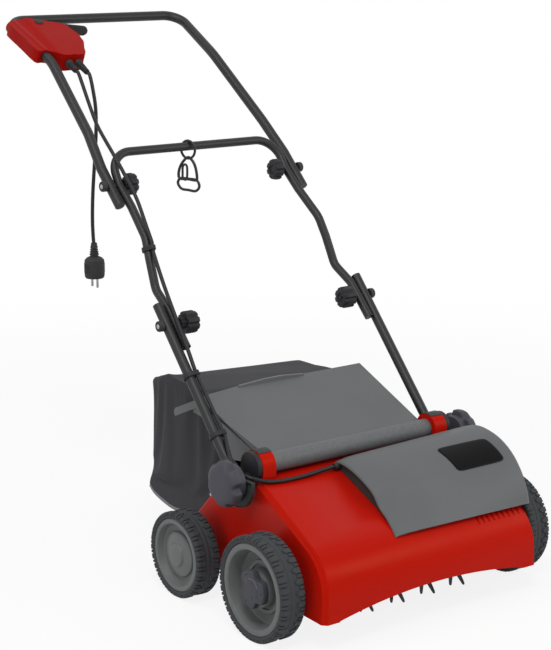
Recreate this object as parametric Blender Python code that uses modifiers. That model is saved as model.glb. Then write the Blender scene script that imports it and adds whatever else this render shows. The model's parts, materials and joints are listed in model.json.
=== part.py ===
"""Electric lawn aerator with a collecting bag, as one assembly of separate pieces.

Lengths are metres and Z is up. Pieces are drawn in machine coordinates: y = 0 lies midway between the
wheel axles, -Y is the front, and left means -X, the side with the switch box. One root empty shifts
everything so that the origin lies under the middle of the whole machine.
"""

import math

import bmesh
import bpy
from mathutils import Matrix, Vector

# Clearances
FIT = 0.0003
SLIDE = 0.0005

# Deck
DECK_FRONT = -0.235
SKIRT_HALF_WIDTH = 0.235
SKIRT_Z = 0.050
DECK_WALL = 0.004
NOSE_RADIUS = 0.030
END_PLATE = 0.005
DRIVE_ROOM = 0.058
END_PLATE_OUTER = SKIRT_HALF_WIDTH - DRIVE_ROOM
TUNNEL_HALF_WIDTH = END_PLATE_OUTER - END_PLATE
SKIRT_ARCH = 0.0205
DECK_SIDE = (
    (DECK_FRONT, SKIRT_Z, 0.0),
    (DECK_FRONT, 0.142, NOSE_RADIUS),
    (-0.030, 0.2316, 0.030),
    (0.060, 0.2316, 0.020),
    (0.168, 0.122, 0.020),
    (0.168, SKIRT_Z, 0.0),
)

# Wheels
FRONT_WHEEL = (-0.118, 0.0884)
REAR_WHEEL = (0.118, 0.0756)
WHEEL_WIDTH = 0.046
FRONT_WHEEL_INNER = SKIRT_HALF_WIDTH + 0.0125
REAR_WHEEL_INNER = SKIRT_HALF_WIDTH + 0.002
TYRE_DEPTH = 0.0118
ECCENTRIC = 0.008
STUB_RADIUS = 0.012
REAR_AXLE_RADIUS = 0.005
HUB_DEPTH = 0.0138

# Knife roller and its drive
ROLLER = (-0.143, 0.083)
ROLLER_RADIUS = 0.012
ROLLER_END_GAP = 0.004
ROLLER_HALF_LENGTH = TUNNEL_HALF_WIDTH - ROLLER_END_GAP
JOURNAL_RADIUS = 0.008
BEARING_RADIUS = 0.016
KNIFE_TIP = 0.0745
KNIFE_PITCH = 0.0168
KNIFE_COUNT = 19
KNIFE_THICKNESS = 0.002
KNIFE_ROOT = 0.0165
MOTOR = (-0.105, 0.2055)
MOTOR_RADIUS = 0.0345
MOTOR_LENGTH = 0.095
MOTOR_PULLEY_RADIUS = 0.014
ROLLER_PULLEY_RADIUS = 0.030
PULLEY_START = END_PLATE_OUTER + 0.005
PULLEY_WIDTH = 0.016
PULLEY_END = PULLEY_START + PULLEY_WIDTH
BELT_THICKNESS = 0.0025
BAY_FLOOR = 0.1707

# Hood over the motor
HOOD_LEFT_X = -0.055
HOOD_RIGHT_X = SKIRT_HALF_WIDTH + 0.001
HOOD_WALL = 0.003
HOOD_LEFT = (
    (-0.026, 0.230),
    (-0.036, 0.2425),
    (-0.057, 0.2450),
    (-0.094, 0.2356),
    (-0.136, 0.2152),
    (-0.1567, 0.1898),
    (-0.1774, 0.1611),
    (-0.1978, 0.1505),
)
HOOD_RIGHT = (
    (-0.026, 0.236),
    (-0.030, 0.247),
    (-0.065, 0.262),
    (-0.093, 0.2665),
    (-0.133, 0.2585),
    (-0.168, 0.2385),
    (-0.194, 0.2095),
    (-0.210, 0.178),
    (-0.216, 0.156),
)

# Ejector flap
FLAP_AXIS = (-0.006, 0.2515)
FLAP_BARREL = 0.017
FLAP_ROD = 0.0032
SPRING_POCKET = 0.0255
EAR_INNER = TUNNEL_HALF_WIDTH + 0.0045
EAR_OUTER = EAR_INNER + 0.027
EAR_RADIUS = 0.026

# Handle
BASE_PIVOT = (-0.004, 0.2310)
LOWER_PIVOT = (0.223, 0.4519)
UPPER_PIVOT = (0.4256, 0.670)
LEG_GAP = 0.0008
LOWER_BAR_X = SKIRT_HALF_WIDTH - 0.0128
LOWER_BAR_RADIUS = 0.009
MIDDLE_RADIUS = 0.008
UPPER_RADIUS = 0.0095
MIDDLE_X_LOW = LOWER_BAR_X - LOWER_BAR_RADIUS - MIDDLE_RADIUS - LEG_GAP
UPPER_X = SKIRT_HALF_WIDTH - 0.0286
MIDDLE_X_HIGH = UPPER_X - UPPER_RADIUS - MIDDLE_RADIUS - LEG_GAP
GRIP_LEG_X = UPPER_X - 0.0064
CROSSBAR = (0.462, 0.7237)
GRIP = (0.81, 0.946)
GRIP_SLOPE = math.radians(26.0)
BOLT_RADIUS = 0.003
BOLT_HOLE = BOLT_RADIUS + 0.0004
BASE_STUD = 0.004
STUD_HOLE = BASE_STUD + 0.0006
BASE_BOSS_RADIUS = 0.0108
BASE_KNOB_RADIUS = 0.0397
BASE_WASHER_RADIUS = 0.0445
WASHER = 0.0074

# Leads
LEAD_RADIUS = 0.0035
GLAND = (-0.0430, 0.2335)
MOTOR_LEAD_X = 0.050
PLUG_LEAD_X = 0.070

CENTRE_Y = (DECK_FRONT + GRIP[0] + UPPER_RADIUS) / 2


def clear_scene():
    for found in list(bpy.data.objects):
        bpy.data.objects.remove(found, do_unlink=True)


def linear(value):
    value /= 255
    return value / 12.92 if value <= 0.04045 else ((value + 0.055) / 1.055) ** 2.4


def material(name, colour, roughness, metallic=0.0):
    made = bpy.data.materials.new(name)
    made.use_nodes = True
    shader = made.node_tree.nodes["Principled BSDF"]
    shader.inputs["Base Color"].default_value = (*map(linear, colour), 1.0)
    shader.inputs["Roughness"].default_value = roughness
    shader.inputs["Metallic"].default_value = metallic
    made.diffuse_color = (*map(linear, colour), 1.0)
    return made


def tidy(mesh):
    """Welds the points that a curve or a Screw leaves doubled, and turns the faces outwards."""
    work = bmesh.new()
    work.from_mesh(mesh)
    bmesh.ops.remove_doubles(work, verts=work.verts, dist=1e-5)
    bmesh.ops.recalc_face_normals(work, faces=work.faces)
    work.to_mesh(mesh)
    work.free()
    return mesh


def made_mesh(source):
    """The mesh that Blender makes of a curve, or of an object with modifiers."""
    bpy.context.scene.collection.objects.link(source)
    bpy.context.view_layer.update()
    graph = bpy.context.evaluated_depsgraph_get()
    mesh = bpy.data.meshes.new_from_object(source.evaluated_get(graph))
    bpy.data.objects.remove(source, do_unlink=True)
    return tidy(mesh)


def curve(splines, flat, closed, extrude=0.0, bevel=0.0, resolution=2):
    shape = bpy.data.curves.new("shape", "CURVE")
    shape.dimensions = "2D" if flat else "3D"
    shape.fill_mode = "BOTH" if flat else "FULL"
    shape.extrude = extrude
    shape.bevel_depth = bevel
    shape.bevel_resolution = resolution
    shape.use_fill_caps = True
    for points in splines:
        spline = shape.splines.new("POLY")
        spline.points.add(len(points) - 1)
        for point, where in zip(spline.points, points):
            point.co = (*where, 0.0, 1.0) if flat else (*where, 1.0)
        spline.use_cyclic_u = closed
    return made_mesh(bpy.data.objects.new("shape", shape))


ALONG_X = Matrix(((0, 0, 1, 0), (1, 0, 0, 0), (0, 1, 0, 0), (0, 0, 0, 1)))
ALONG_Y = Matrix(((1, 0, 0, 0), (0, 0, -1, 0), (0, 1, 0, 0), (0, 0, 0, 1)))
COS, SIN = math.cos(GRIP_SLOPE), math.sin(GRIP_SLOPE)
# Handle plane: x starts at the left leg, y runs up the slope to the grip, z is the plane's normal.
HANDLE_PLANE = Matrix(
    ((1, 0, 0, -GRIP_LEG_X), (0, COS, -SIN, GRIP[0]), (0, SIN, COS, GRIP[1]), (0, 0, 0, 1))
)


def prism(outlines, low, high, turn=ALONG_X):
    """A plate between low and high. Its first outline is the edge and the others are holes."""
    mesh = curve(outlines, True, True, extrude=(high - low) / 2)
    work = bmesh.new()
    work.from_mesh(mesh)
    bmesh.ops.dissolve_limit(work, angle_limit=0.01, verts=work.verts, edges=work.edges)
    work.to_mesh(mesh)
    work.free()
    mesh.transform(turn @ Matrix.Translation((0, 0, (low + high) / 2)))
    return mesh


def turned(profile, centre, closed=False, steps=16, turn=ALONG_X):
    """A body of revolution: the profile is (radius, place along the axis)."""
    mesh = bpy.data.meshes.new("profile")
    edges = [(i, i + 1) for i in range(len(profile) - 1)]
    if closed:
        edges.append((len(profile) - 1, 0))
    mesh.from_pydata([(r, 0, z) for r, z in profile], edges, [])
    source = bpy.data.objects.new("profile", mesh)
    screw = source.modifiers.new("Screw", "SCREW")
    screw.steps = steps
    screw.render_steps = steps
    screw.use_merge_vertices = True
    screw.merge_threshold = 1e-5
    mesh = made_mesh(source)
    mesh.transform(turn)
    mesh.transform(Matrix.Translation(centre))
    return mesh


def across(y_z):
    return (0.0, *y_z)


def rod(x0, x1, radius, centre, steps=14):
    return turned([(0, x0), (radius, x0), (radius, x1), (0, x1)], across(centre), steps=steps)


def pipe(x0, x1, inner, outer, centre, steps=14):
    profile = [(inner, x0), (outer, x0), (outer, x1), (inner, x1)]
    return turned(profile, across(centre), closed=True, steps=steps)


def tube(points, radius, resolution=2, closed=False):
    return curve([points], False, closed, bevel=radius, resolution=resolution)


def block(low, high):
    mesh = bpy.data.meshes.new("block")
    work = bmesh.new()
    bmesh.ops.create_cube(work, size=1)
    work.to_mesh(mesh)
    work.free()
    low, high = Vector(low), Vector(high)
    mesh.transform(Matrix.Translation((low + high) / 2) @ Matrix.Diagonal((*(high - low), 1)))
    return mesh


def loft(rings):
    """Skins a row of rings that hold the same number of points, and caps both ends."""
    count = len(rings[0])
    faces = [list(range(count)), [(len(rings) - 1) * count + i for i in range(count)]]
    for level in range(len(rings) - 1):
        for i in range(count):
            a, b = level * count + i, level * count + (i + 1) % count
            faces.append([a, b, b + count, a + count])
    mesh = bpy.data.meshes.new("loft")
    mesh.from_pydata([point for ring in rings for point in ring], [], faces)
    return tidy(mesh)


def arc(centre, radius, start, end, count):
    turns = [math.radians(start + (end - start) * i / count) for i in range(count + 1)]
    return [(centre[0] + radius * math.cos(t), centre[1] + radius * math.sin(t)) for t in turns]


def filleted(points, closed=False, step=18.0):
    """A path of corners, each with its place and its radius, with one point for every step degrees of bend."""
    path = [Vector(point[:-1]) for point in points]
    radii = [point[-1] for point in points]
    count = len(path)
    out = []
    for i, corner in enumerate(path):
        inner = closed or 0 < i < count - 1
        if not inner or radii[i] == 0:
            out.append(tuple(corner))
            continue
        back = (path[i - 1] - corner).normalized()
        ahead = (path[(i + 1) % count] - corner).normalized()
        half = back.angle(ahead) / 2
        centre = corner + (back + ahead).normalized() * (radii[i] / math.sin(half))
        start = corner + back * (radii[i] / math.tan(half)) - centre
        end = corner + ahead * (radii[i] / math.tan(half)) - centre
        sweep = start.angle(end)
        pieces = max(1, round(math.degrees(sweep) / step))
        for piece in range(pieces + 1):
            t = piece / pieces
            share = math.sin(sweep * (1 - t)) / math.sin(sweep), math.sin(sweep * t) / math.sin(sweep)
            out.append(tuple(centre + start * share[0] + end * share[1]))
    return out


def smooth(points, steps=4, closed=False):
    """Points along a smooth curve through the given ones."""
    known = [Vector(point) for point in points]
    count = len(known)
    out = []
    for i in range(count if closed else count - 1):
        p1, p2 = known[i], known[(i + 1) % count]
        p0 = known[i - 1] if closed or i else 2 * p1 - p2
        p3 = known[(i + 2) % count] if closed or i < count - 2 else 2 * p2 - p1
        for step in range(steps):
            t = step / steps
            out.append(
                tuple(
                    0.5
                    * (
                        2 * p1
                        + (p2 - p0) * t
                        + (2 * p0 - 5 * p1 + 4 * p2 - p3) * t**2
                        + (3 * p1 - p0 - 3 * p2 + p3) * t**3
                    )
                )
            )
    if not closed:
        out.append(tuple(known[-1]))
    return out


def resampled(points, count):
    """The same line with points at even distances."""
    known = [Vector(point) for point in points]
    marks = [0.0]
    for a, b in zip(known, known[1:]):
        marks.append(marks[-1] + (b - a).length)
    out = []
    for i in range(count):
        mark = marks[-1] * i / (count - 1)
        k = max(j for j in range(len(known) - 1) if marks[j] <= mark + 1e-12)
        out.append(known[k].lerp(known[k + 1], (mark - marks[k]) / (marks[k + 1] - marks[k])))
    return out


def offset(points, distance):
    """An open line moved sideways, to the left of its direction when distance is positive."""
    known = [Vector(point) for point in points]
    out = []
    for i, point in enumerate(known):
        along = (known[min(i + 1, len(known) - 1)] - known[max(i - 1, 0)]).normalized()
        out.append(point + Vector((-along.y, along.x)) * distance)
    return out


def joined(meshes):
    """Several meshes as one mesh of separate bodies, for one Boolean."""
    work = bmesh.new()
    for mesh in meshes:
        work.from_mesh(mesh)
    mesh = bpy.data.meshes.new("joined")
    work.to_mesh(mesh)
    work.free()
    return mesh


def between(side, near, far):
    """Two places along X on one side of the machine, the lower one first."""
    return sorted((side * near, side * far))


class Assembly:
    """Holds the collections, the root empty and the finishes, and adds pieces to them."""

    def __init__(self):
        self.parts = bpy.data.collections.new("lawn_aerator")
        self.cutters = bpy.data.collections.new("cutters")
        for made in (self.parts, self.cutters):
            bpy.context.scene.collection.children.link(made)
        self.root = bpy.data.objects.new("root", None)
        self.root.location = (0, -CENTRE_Y, 0)
        self.parts.objects.link(self.root)
        self.red = material("red_plastic", (170, 20, 15), 0.25)
        self.grey = material("grey_plastic", (110, 112, 112), 0.5)
        self.rim = material("rim_plastic", (100, 102, 102), 0.5)
        self.rubber = material("rubber", (50, 52, 55), 0.8)
        self.black = material("black_paint", (28, 28, 30), 0.25)
        self.knob = material("knob_plastic", (60, 60, 66), 0.5)
        self.cloth = material("bag_cloth", (50, 50, 54), 0.9)
        self.steel = material("steel", (150, 150, 152), 0.35, 1.0)

    def place(self, name, mesh, collection, pivot=(0, 0, 0)):
        mesh.name = name
        mesh.transform(Matrix.Translation(-Vector(pivot)))
        made = bpy.data.objects.new(name, mesh)
        made.location = pivot
        made.parent = self.root
        collection.objects.link(made)
        return made

    def add(self, name, mesh, finish, pivot=(0, 0, 0)):
        made = self.place(name, mesh, self.parts, pivot)
        mesh.materials.clear()
        mesh.materials.append(finish)
        return made

    def boolean(self, target, mesh, operation):
        name = f"{target.name}_{operation.lower()}_{len(target.modifiers)}"
        helper = self.place(name, mesh, self.cutters)
        helper.hide_render = True
        helper.display_type = "WIRE"
        modifier = target.modifiers.new(operation.title(), "BOOLEAN")
        modifier.operation = operation
        modifier.solver = "EXACT"
        modifier.object = helper
        return helper

    def cut(self, target, *meshes):
        return self.boolean(target, joined(meshes), "DIFFERENCE")

    def fuse(self, target, mesh):
        return self.boolean(target, mesh, "UNION")

    def share(self, target, helper):
        """Cuts another piece with a cutter that is already there."""
        modifier = target.modifiers.new("Shared", "BOOLEAN")
        modifier.operation = "DIFFERENCE"
        modifier.solver = "EXACT"
        modifier.object = helper


def deck_half_width(y, z):
    return SKIRT_HALF_WIDTH - 0.050 * (z - SKIRT_Z) - 0.0594 * (y - DECK_FRONT)


def deck_top(y):
    """Height of the sloping top, from the nose to the flat part."""
    slope = (DECK_SIDE[2][1] - DECK_SIDE[1][1]) / (DECK_SIDE[2][0] - DECK_SIDE[1][0])
    return DECK_SIDE[1][1] + (y - DECK_FRONT) * slope


def deck_body():
    """The outer block of the deck, with its tapered sides and rounded upper edges."""
    mesh = prism([filleted(DECK_SIDE, closed=True)], -SKIRT_HALF_WIDTH, SKIRT_HALF_WIDTH)
    for vertex in mesh.vertices:
        vertex.co.x = math.copysign(deck_half_width(vertex.co.y, vertex.co.z), vertex.co.x)
    weights = mesh.attributes.new("bevel_weight_edge", "FLOAT", "EDGE")
    for edge, weight in zip(mesh.edges, weights.data):
        a, b = (mesh.vertices[i].co for i in edge.vertices)
        on_side = a.x * b.x > 0
        weight.value = 1.0 if on_side and max(a.z, b.z) > SKIRT_Z + 0.001 else 0.0
    return mesh


def tunnel():
    """Room for the knife roller, the chute behind it and the mouth under the flap."""
    outline = [(-0.2235, 0.040)]
    outline += arc(ROLLER, KNIFE_TIP + 0.006, 180, 45, 8)
    outline += [(-0.012, 0.2216), (0.015, 0.2216), (0.015, 0.400), (0.200, 0.400)]
    outline += [(0.200, 0.107), (0.010, 0.088), (0.010, 0.083), (0.164, 0.0984), (0.164, 0.040)]
    return prism([outline], -TUNNEL_HALF_WIDTH, TUNNEL_HALF_WIDTH)


def side_room(side):
    """The space between an end plate and the side wall, open below and rounded inside the nose."""
    front = DECK_FRONT + DECK_WALL
    roof = [(front, 0.142 - DECK_WALL / 2, NOSE_RADIUS - DECK_WALL), (-0.085, deck_top(-0.085) - 0.0046, 0)]
    outline = [(front, 0.040, 0), *roof, (0.075, 0.2030, 0), (0.164, 0.1180, 0), (0.164, 0.040, 0)]
    mesh = prism([filleted(outline, closed=True, step=28)], 1, 2)
    for vertex in mesh.vertices:
        outer = vertex.co.x > 1.5
        wide = deck_half_width(vertex.co.y, vertex.co.z) - DECK_WALL
        vertex.co.x = side * (wide if outer else END_PLATE_OUTER)
    return tidy(mesh)


def vents():
    """Upright slots in the nose, just in front of the hood."""
    slots = []
    for i in range(10):
        slot = block((-0.0018, -0.0105, -0.003), (0.0018, 0.0105, 0.003))
        slot.transform(Matrix.Rotation(math.atan(0.4369), 4, "X"))
        x = SKIRT_HALF_WIDTH - 0.120 + 0.0115 * i
        slot.transform(Matrix.Translation((x, -0.2075, deck_top(-0.2075))))
        slots.append(slot)
    return slots


def ear(side):
    centre = FLAP_AXIS
    outline = arc(centre, EAR_RADIUS, 0, 180, 8)
    outline += [(centre[0] - EAR_RADIUS, 0.2285), (centre[0] + EAR_RADIUS, 0.2285)]
    return prism([outline], *between(side, EAR_INNER, EAR_OUTER))


BOSS_START = PULLEY_END + 0.005


def build_deck(asm):
    deck = asm.add("deck_housing", deck_body(), asm.red)
    bevel = deck.modifiers.new("Bevel", "BEVEL")
    bevel.width = 0.008
    bevel.segments = 1
    bevel.limit_method = "WEIGHT"
    asm.cut(deck, tunnel())
    asm.cut(deck, side_room(1), side_room(-1))
    boss = (FRONT_WHEEL[0] - ECCENTRIC, FRONT_WHEEL[1])
    for side in (1, -1):
        asm.fuse(deck, ear(side))
        asm.fuse(deck, rod(*between(side, BOSS_START, SKIRT_HALF_WIDTH - 0.0105), 0.018, boss, 12))
    bay = block((-0.040, -0.1425, BAY_FLOOR), (PULLEY_END + 0.007, -0.0675, 0.30))
    asm.cut(deck, bay)
    reach = SKIRT_HALF_WIDTH * 0.86
    arch = [(-reach, 0.040)]
    for share in (-1, -0.75, -0.5, -0.25, 0, 0.25, 0.5, 0.75, 1):
        arch.append((reach * share, SKIRT_Z + 0.0015 + SKIRT_ARCH * (1 - share**2)))
    arch.append((reach, 0.040))
    asm.cut(deck, prism([arch], 0.20, 0.26, ALONG_Y))
    asm.cut(deck, *vents())
    bores = [rod(-SKIRT_HALF_WIDTH, SKIRT_HALF_WIDTH, REAR_AXLE_RADIUS + SLIDE, REAR_WHEEL, 12)]
    bearing = END_PLATE_OUTER + 0.003
    bores.append(rod(-bearing, bearing, BEARING_RADIUS + FIT, ROLLER))
    for side in (1, -1):
        ends = between(side, BOSS_START + 0.006, SKIRT_HALF_WIDTH + 0.02)
        bores.append(rod(*ends, STUB_RADIUS - 0.002 + FIT, boss))
        ends = between(side, TUNNEL_HALF_WIDTH - 0.002, EAR_INNER + 0.023)
        bores.append(rod(*ends, FLAP_ROD + 0.0004, FLAP_AXIS, 12))
    asm.cut(deck, *bores)
    for side in (1, -1):
        asm.cut(deck, rod(*between(side, EAR_OUTER + 0.0003, SKIRT_HALF_WIDTH), 0.0245, BASE_PIVOT))
        asm.cut(deck, rod(*between(side, EAR_OUTER + 0.0003, SKIRT_HALF_WIDTH), EAR_RADIUS, FLAP_AXIS))
    pockets = []
    for side in (1, -1):
        pockets.append(rod(*between(side, EAR_INNER + 0.0115, EAR_OUTER + 0.001), STUD_HOLE, BASE_PIVOT, 12))
        steps = between(side, TUNNEL_HALF_WIDTH - 0.001, SKIRT_HALF_WIDTH)
        pockets.append(block((steps[0], 0.1228, 0.1629), (steps[1], 0.150, 0.20)))
    asm.cut(deck, *pockets)


def hood_profile(share, inward):
    """The hood's section, between its left edge at share 0 and its right edge at share 1."""
    left = resampled(smooth([(y, z, 0) for y, z in HOOD_LEFT], 4), 13)
    right = resampled(smooth([(y, z, 0) for y, z in HOOD_RIGHT], 4), 13)
    line = [a.lerp(b, share).to_2d() for a, b in zip(left, right)]
    return offset(line, inward)


def hood_block(x0, x1, inward, drop):
    """The hood as a solid, with its skin moved inwards and its underside let down."""
    rings = []
    for i in range(4):
        x = x0 + (x1 - x0) * i / 3
        share = (x - HOOD_LEFT_X) / (HOOD_RIGHT_X - HOOD_LEFT_X)
        line = hood_profile(share, inward)
        front, back = line[-1], line[0]
        section = [(x, p.x, p.y) for p in line]
        section.append((x, front.x, front.y - drop))
        section.append((x, back.x, back.y - 0.045 - drop))
        rings.append(section)
    return loft(rings)


BOSS_HALF = LOWER_BAR_RADIUS + 0.0003
WASHER_START = LOWER_BAR_X + BOSS_HALF + 0.0004


def build_hood(asm):
    hood = asm.add("motor_cover", hood_block(HOOD_LEFT_X, HOOD_RIGHT_X, 0.0, 0.0005), asm.grey)
    inner = hood_block(HOOD_LEFT_X + 0.008, HOOD_RIGHT_X - HOOD_WALL, HOOD_WALL, 0.06)
    asm.cut(hood, inner)
    recess = hood_block(HOOD_LEFT_X - 0.004, HOOD_LEFT_X + 0.0045, HOOD_WALL, 0.06)
    asm.cut(hood, recess)
    raised = [(y, z + SLIDE, r) for y, z, r in DECK_SIDE]
    asm.cut(hood, prism([filleted(raised, closed=True)], -0.3, 0.3))
    end, room = HOOD_RIGHT_X + 0.02, EAR_RADIUS + 0.0008
    outline = arc(FLAP_AXIS, room, 0, 180, 10)
    outline += [(FLAP_AXIS[0] - room, 0.2245), (FLAP_AXIS[0] + room, 0.2245)]
    asm.cut(hood, prism([outline], EAR_INNER - 0.001, end))
    asm.cut(hood, rod(EAR_OUTER - 0.0005, end, 0.0245, BASE_PIVOT, 20))
    asm.cut(hood, rod(WASHER_START - 0.001, end, BASE_WASHER_RADIUS + 0.001, BASE_PIVOT, 20))
    ends = HOOD_LEFT_X - 0.0085, HOOD_LEFT_X + 0.0042
    asm.add("cable_gland", pipe(*ends, LEAD_RADIUS + FIT, 0.0056, GLAND, 12), asm.black)


def build_motor(asm):
    end = END_PLATE_OUTER - 0.017
    motor = asm.add("motor", rod(end - MOTOR_LENGTH, end, MOTOR_RADIUS, MOTOR, 20), asm.steel)
    asm.cut(motor, rod(end - 0.012, end + 0.01, 0.005 + FIT, MOTOR, 12))
    pulley = rod(PULLEY_START + 0.001, PULLEY_END - 0.001, MOTOR_PULLEY_RADIUS, MOTOR)
    pulley = asm.add("motor_pulley", pulley, asm.steel, across(MOTOR))
    asm.fuse(pulley, rod(end - 0.010, PULLEY_START + 0.003, 0.005, MOTOR, 12))


def belt_outline(extra):
    """The loop round both pulleys, at a distance from them."""
    top, low = Vector(MOTOR), Vector(ROLLER)
    small, large = MOTOR_PULLEY_RADIUS + extra, ROLLER_PULLEY_RADIUS + extra
    along = top - low
    heading = math.degrees(math.atan2(along.y, along.x))
    lean = math.degrees(math.acos((large - small) / along.length))
    loop = arc(top, small, heading - lean, heading + lean, 8)
    return loop + arc(low, large, heading + lean, heading + 360 - lean, 12)


def build_roller(asm):
    drum = rod(-ROLLER_HALF_LENGTH, ROLLER_HALF_LENGTH, ROLLER_RADIUS, ROLLER, 8)
    roller = asm.add("knife_roller", drum, asm.steel, across(ROLLER))
    asm.fuse(roller, rod(-END_PLATE_OUTER - 0.005, PULLEY_END + 0.002, JOURNAL_RADIUS, ROLLER))
    knives = []
    half = [(KNIFE_TIP, 0.002), (KNIFE_TIP, -0.002), (0.0, -KNIFE_ROOT)]
    outline = half + [(-y, -z) for y, z in half]
    first = -KNIFE_PITCH * (KNIFE_COUNT - 1) / 2
    for k in range(KNIFE_COUNT):
        x = first + KNIFE_PITCH * k
        knife = prism([outline], x - KNIFE_THICKNESS / 2, x + KNIFE_THICKNESS / 2)
        phase = math.radians(90 + 45 * (k % 4))
        knife.transform(Matrix.Rotation(phase, 4, "X"))
        knife.transform(Matrix.Translation(across(ROLLER)))
        knives.append(knife)
    asm.fuse(roller, joined(knives))
    for name, side in (("roller_bearing_left", -1), ("roller_bearing_right", 1)):
        ends = between(side, TUNNEL_HALF_WIDTH - 0.002, END_PLATE_OUTER + 0.002)
        asm.add(name, pipe(*ends, JOURNAL_RADIUS + FIT, BEARING_RADIUS, ROLLER), asm.steel)
    pulley = pipe(PULLEY_START, PULLEY_END, JOURNAL_RADIUS + FIT, ROLLER_PULLEY_RADIUS, ROLLER)
    asm.add("roller_pulley", pulley, asm.steel, across(ROLLER))
    loops = [belt_outline(FIT + BELT_THICKNESS), belt_outline(FIT)]
    asm.add("drive_belt", prism(loops, PULLEY_START + 0.002, PULLEY_END - 0.002), asm.rubber)


FLAP_WALL = 0.003
FLAP_END = (0.193, 0.330)


def flap_half_width(y):
    return EAR_INNER - 0.005 + (y - 0.009) * 0.0788


def flap_side(side):
    outline = [(0.000, 0.2613), FLAP_END, (0.1976, 0.306), (0.167, 0.291), (0.0955, 0.2326)]
    outline += [(0.030, 0.2420), (0.004, 0.2500)]
    mesh = prism([outline], 0.0, FLAP_WALL)
    for vertex in mesh.vertices:
        vertex.co.x = side * (flap_half_width(vertex.co.y) - vertex.co.x)
    return tidy(mesh)


def build_flap(asm):
    pivot = across(FLAP_AXIS)
    half = EAR_INNER - 0.001
    barrel = rod(-half, half, FLAP_BARREL, FLAP_AXIS, 16)
    flap = asm.add("ejector_flap", barrel, asm.grey, pivot)
    top = [(0.000, 0.2613), FLAP_END, (FLAP_END[0] + 0.0013, FLAP_END[1] - 0.0038), (0.002, 0.2578)]
    plate = prism([top], -1, 1)
    for vertex in plate.vertices:
        vertex.co.x = math.copysign(flap_half_width(vertex.co.y) - 0.0005, vertex.co.x)
    asm.fuse(flap, plate)
    for side in (1, -1):
        asm.fuse(flap, flap_side(side))
    tab = [(0.150, 0.3130), (0.188, 0.3265), (0.252, 0.3215), (0.256, 0.3150), (0.252, 0.3065)]
    tab += [(0.188, 0.3120), (0.150, 0.2980)]
    asm.fuse(flap, prism([tab], -half - 0.013, -half - 0.0045))
    lip = [(-0.094, 0.3265), (0.050, 0.3265), (0.050, 0.3312), (0.0, 0.3352), (-0.035, 0.3352)]
    asm.fuse(flap, prism([lip + [(-0.094, 0.3312)]], 0.0005 - FLAP_END[0], 0.006 - FLAP_END[0], ALONG_Y))
    asm.cut(flap, rod(-half - 0.01, half + 0.01, FLAP_ROD + 0.0004, FLAP_AXIS, 12))
    asm.cut(flap, rod(half - SPRING_POCKET, half + 0.01, 0.0110, FLAP_AXIS))
    end = EAR_INNER + 0.0225
    asm.add("flap_hinge_rod", rod(-end, end, FLAP_ROD, FLAP_AXIS, 12), asm.steel)
    coil = []
    for i in range(31):
        turn = 2 * math.pi * i / 6
        x = half - SPRING_POCKET + 0.0035 + 0.0037 * i / 6
        coil.append((x, FLAP_AXIS[0] + 0.0078 * math.cos(turn), FLAP_AXIS[1] + 0.0078 * math.sin(turn)))
    asm.add("flap_spring", tube(coil, 0.0011, 0), asm.steel, pivot)


BAG_SIDE = (
    (0.130, 0.106, 0.0),
    (0.130, 0.297, 0.0),
    (0.196, 0.3185, 0.010),
    (0.222, 0.330, 0.015),
    (0.330, 0.3375, 0.040),
    (0.3850, 0.322, 0.016),
    (0.3800, 0.097, 0.020),
    (0.309, 0.080, 0.030),
    (0.185, 0.095, 0.010),
    (0.176, 0.106, 0.006),
)


BAG_SIDE_GAP = 0.012


def build_bag(asm):
    outline = filleted(BAG_SIDE, closed=True, step=30)
    half = TUNNEL_HALF_WIDTH - BAG_SIDE_GAP
    body = prism([outline], -half, half)
    bag = asm.add("collection_bag", body, asm.cloth)
    bevel = bag.modifiers.new("Bevel", "BEVEL")
    bevel.width = 0.010
    bevel.segments = 1
    bevel.limit_method = "ANGLE"
    bevel.angle_limit = math.radians(60)
    inner = [(y + (0.003 if y < 0.2 else -0.003 if y > 0.3 else 0), z) for y, z in outline]
    inner = [(y, z + (0.003 if z < 0.2 else -0.003)) for y, z in inner]
    inner = [(0.120, 0.109), (0.120, 0.293)] + [p for p in inner if p[0] > 0.14]
    asm.cut(bag, prism([inner], 0.008 - half, half - 0.008))
    wide = half - 0.0065
    ring = [(-wide, 0.1265, 0.1125, 0.01), (wide, 0.1265, 0.1125, 0.01)]
    ring += [(wide, 0.1265, 0.2890, 0.01), (-wide, 0.1265, 0.2890, 0.01)]
    frame = asm.add("bag_frame", tube(filleted(ring, closed=True, step=45), 0.003, 1, True), asm.steel)
    for side in (1, -1):
        arm = rod(*between(side, half - 0.008, SKIRT_HALF_WIDTH - 0.035), 0.003, (0.1265, 0.1662), 8)
        asm.fuse(frame, arm)


def build_wheel(asm, name, side, centre, tyre_radius, inner_x, steps):
    outer_x = inner_x + WHEEL_WIDTH
    ring = tyre_radius - TYRE_DEPTH
    pivot = (0, *centre)
    tread = [(ring, inner_x + 0.002), (tyre_radius - 0.005, inner_x), (tyre_radius, inner_x + 0.006)]
    tread += [(tyre_radius, outer_x - 0.006), (tyre_radius - 0.005, outer_x), (ring, outer_x - 0.002)]
    tread = [(r, side * x) for r, x in tread]
    asm.add(f"tyre_{name}", turned(tread, pivot, True, steps), asm.rubber, pivot)
    return ring - FIT


FRONT_STEPS, REAR_STEPS = 20, 20


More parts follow.
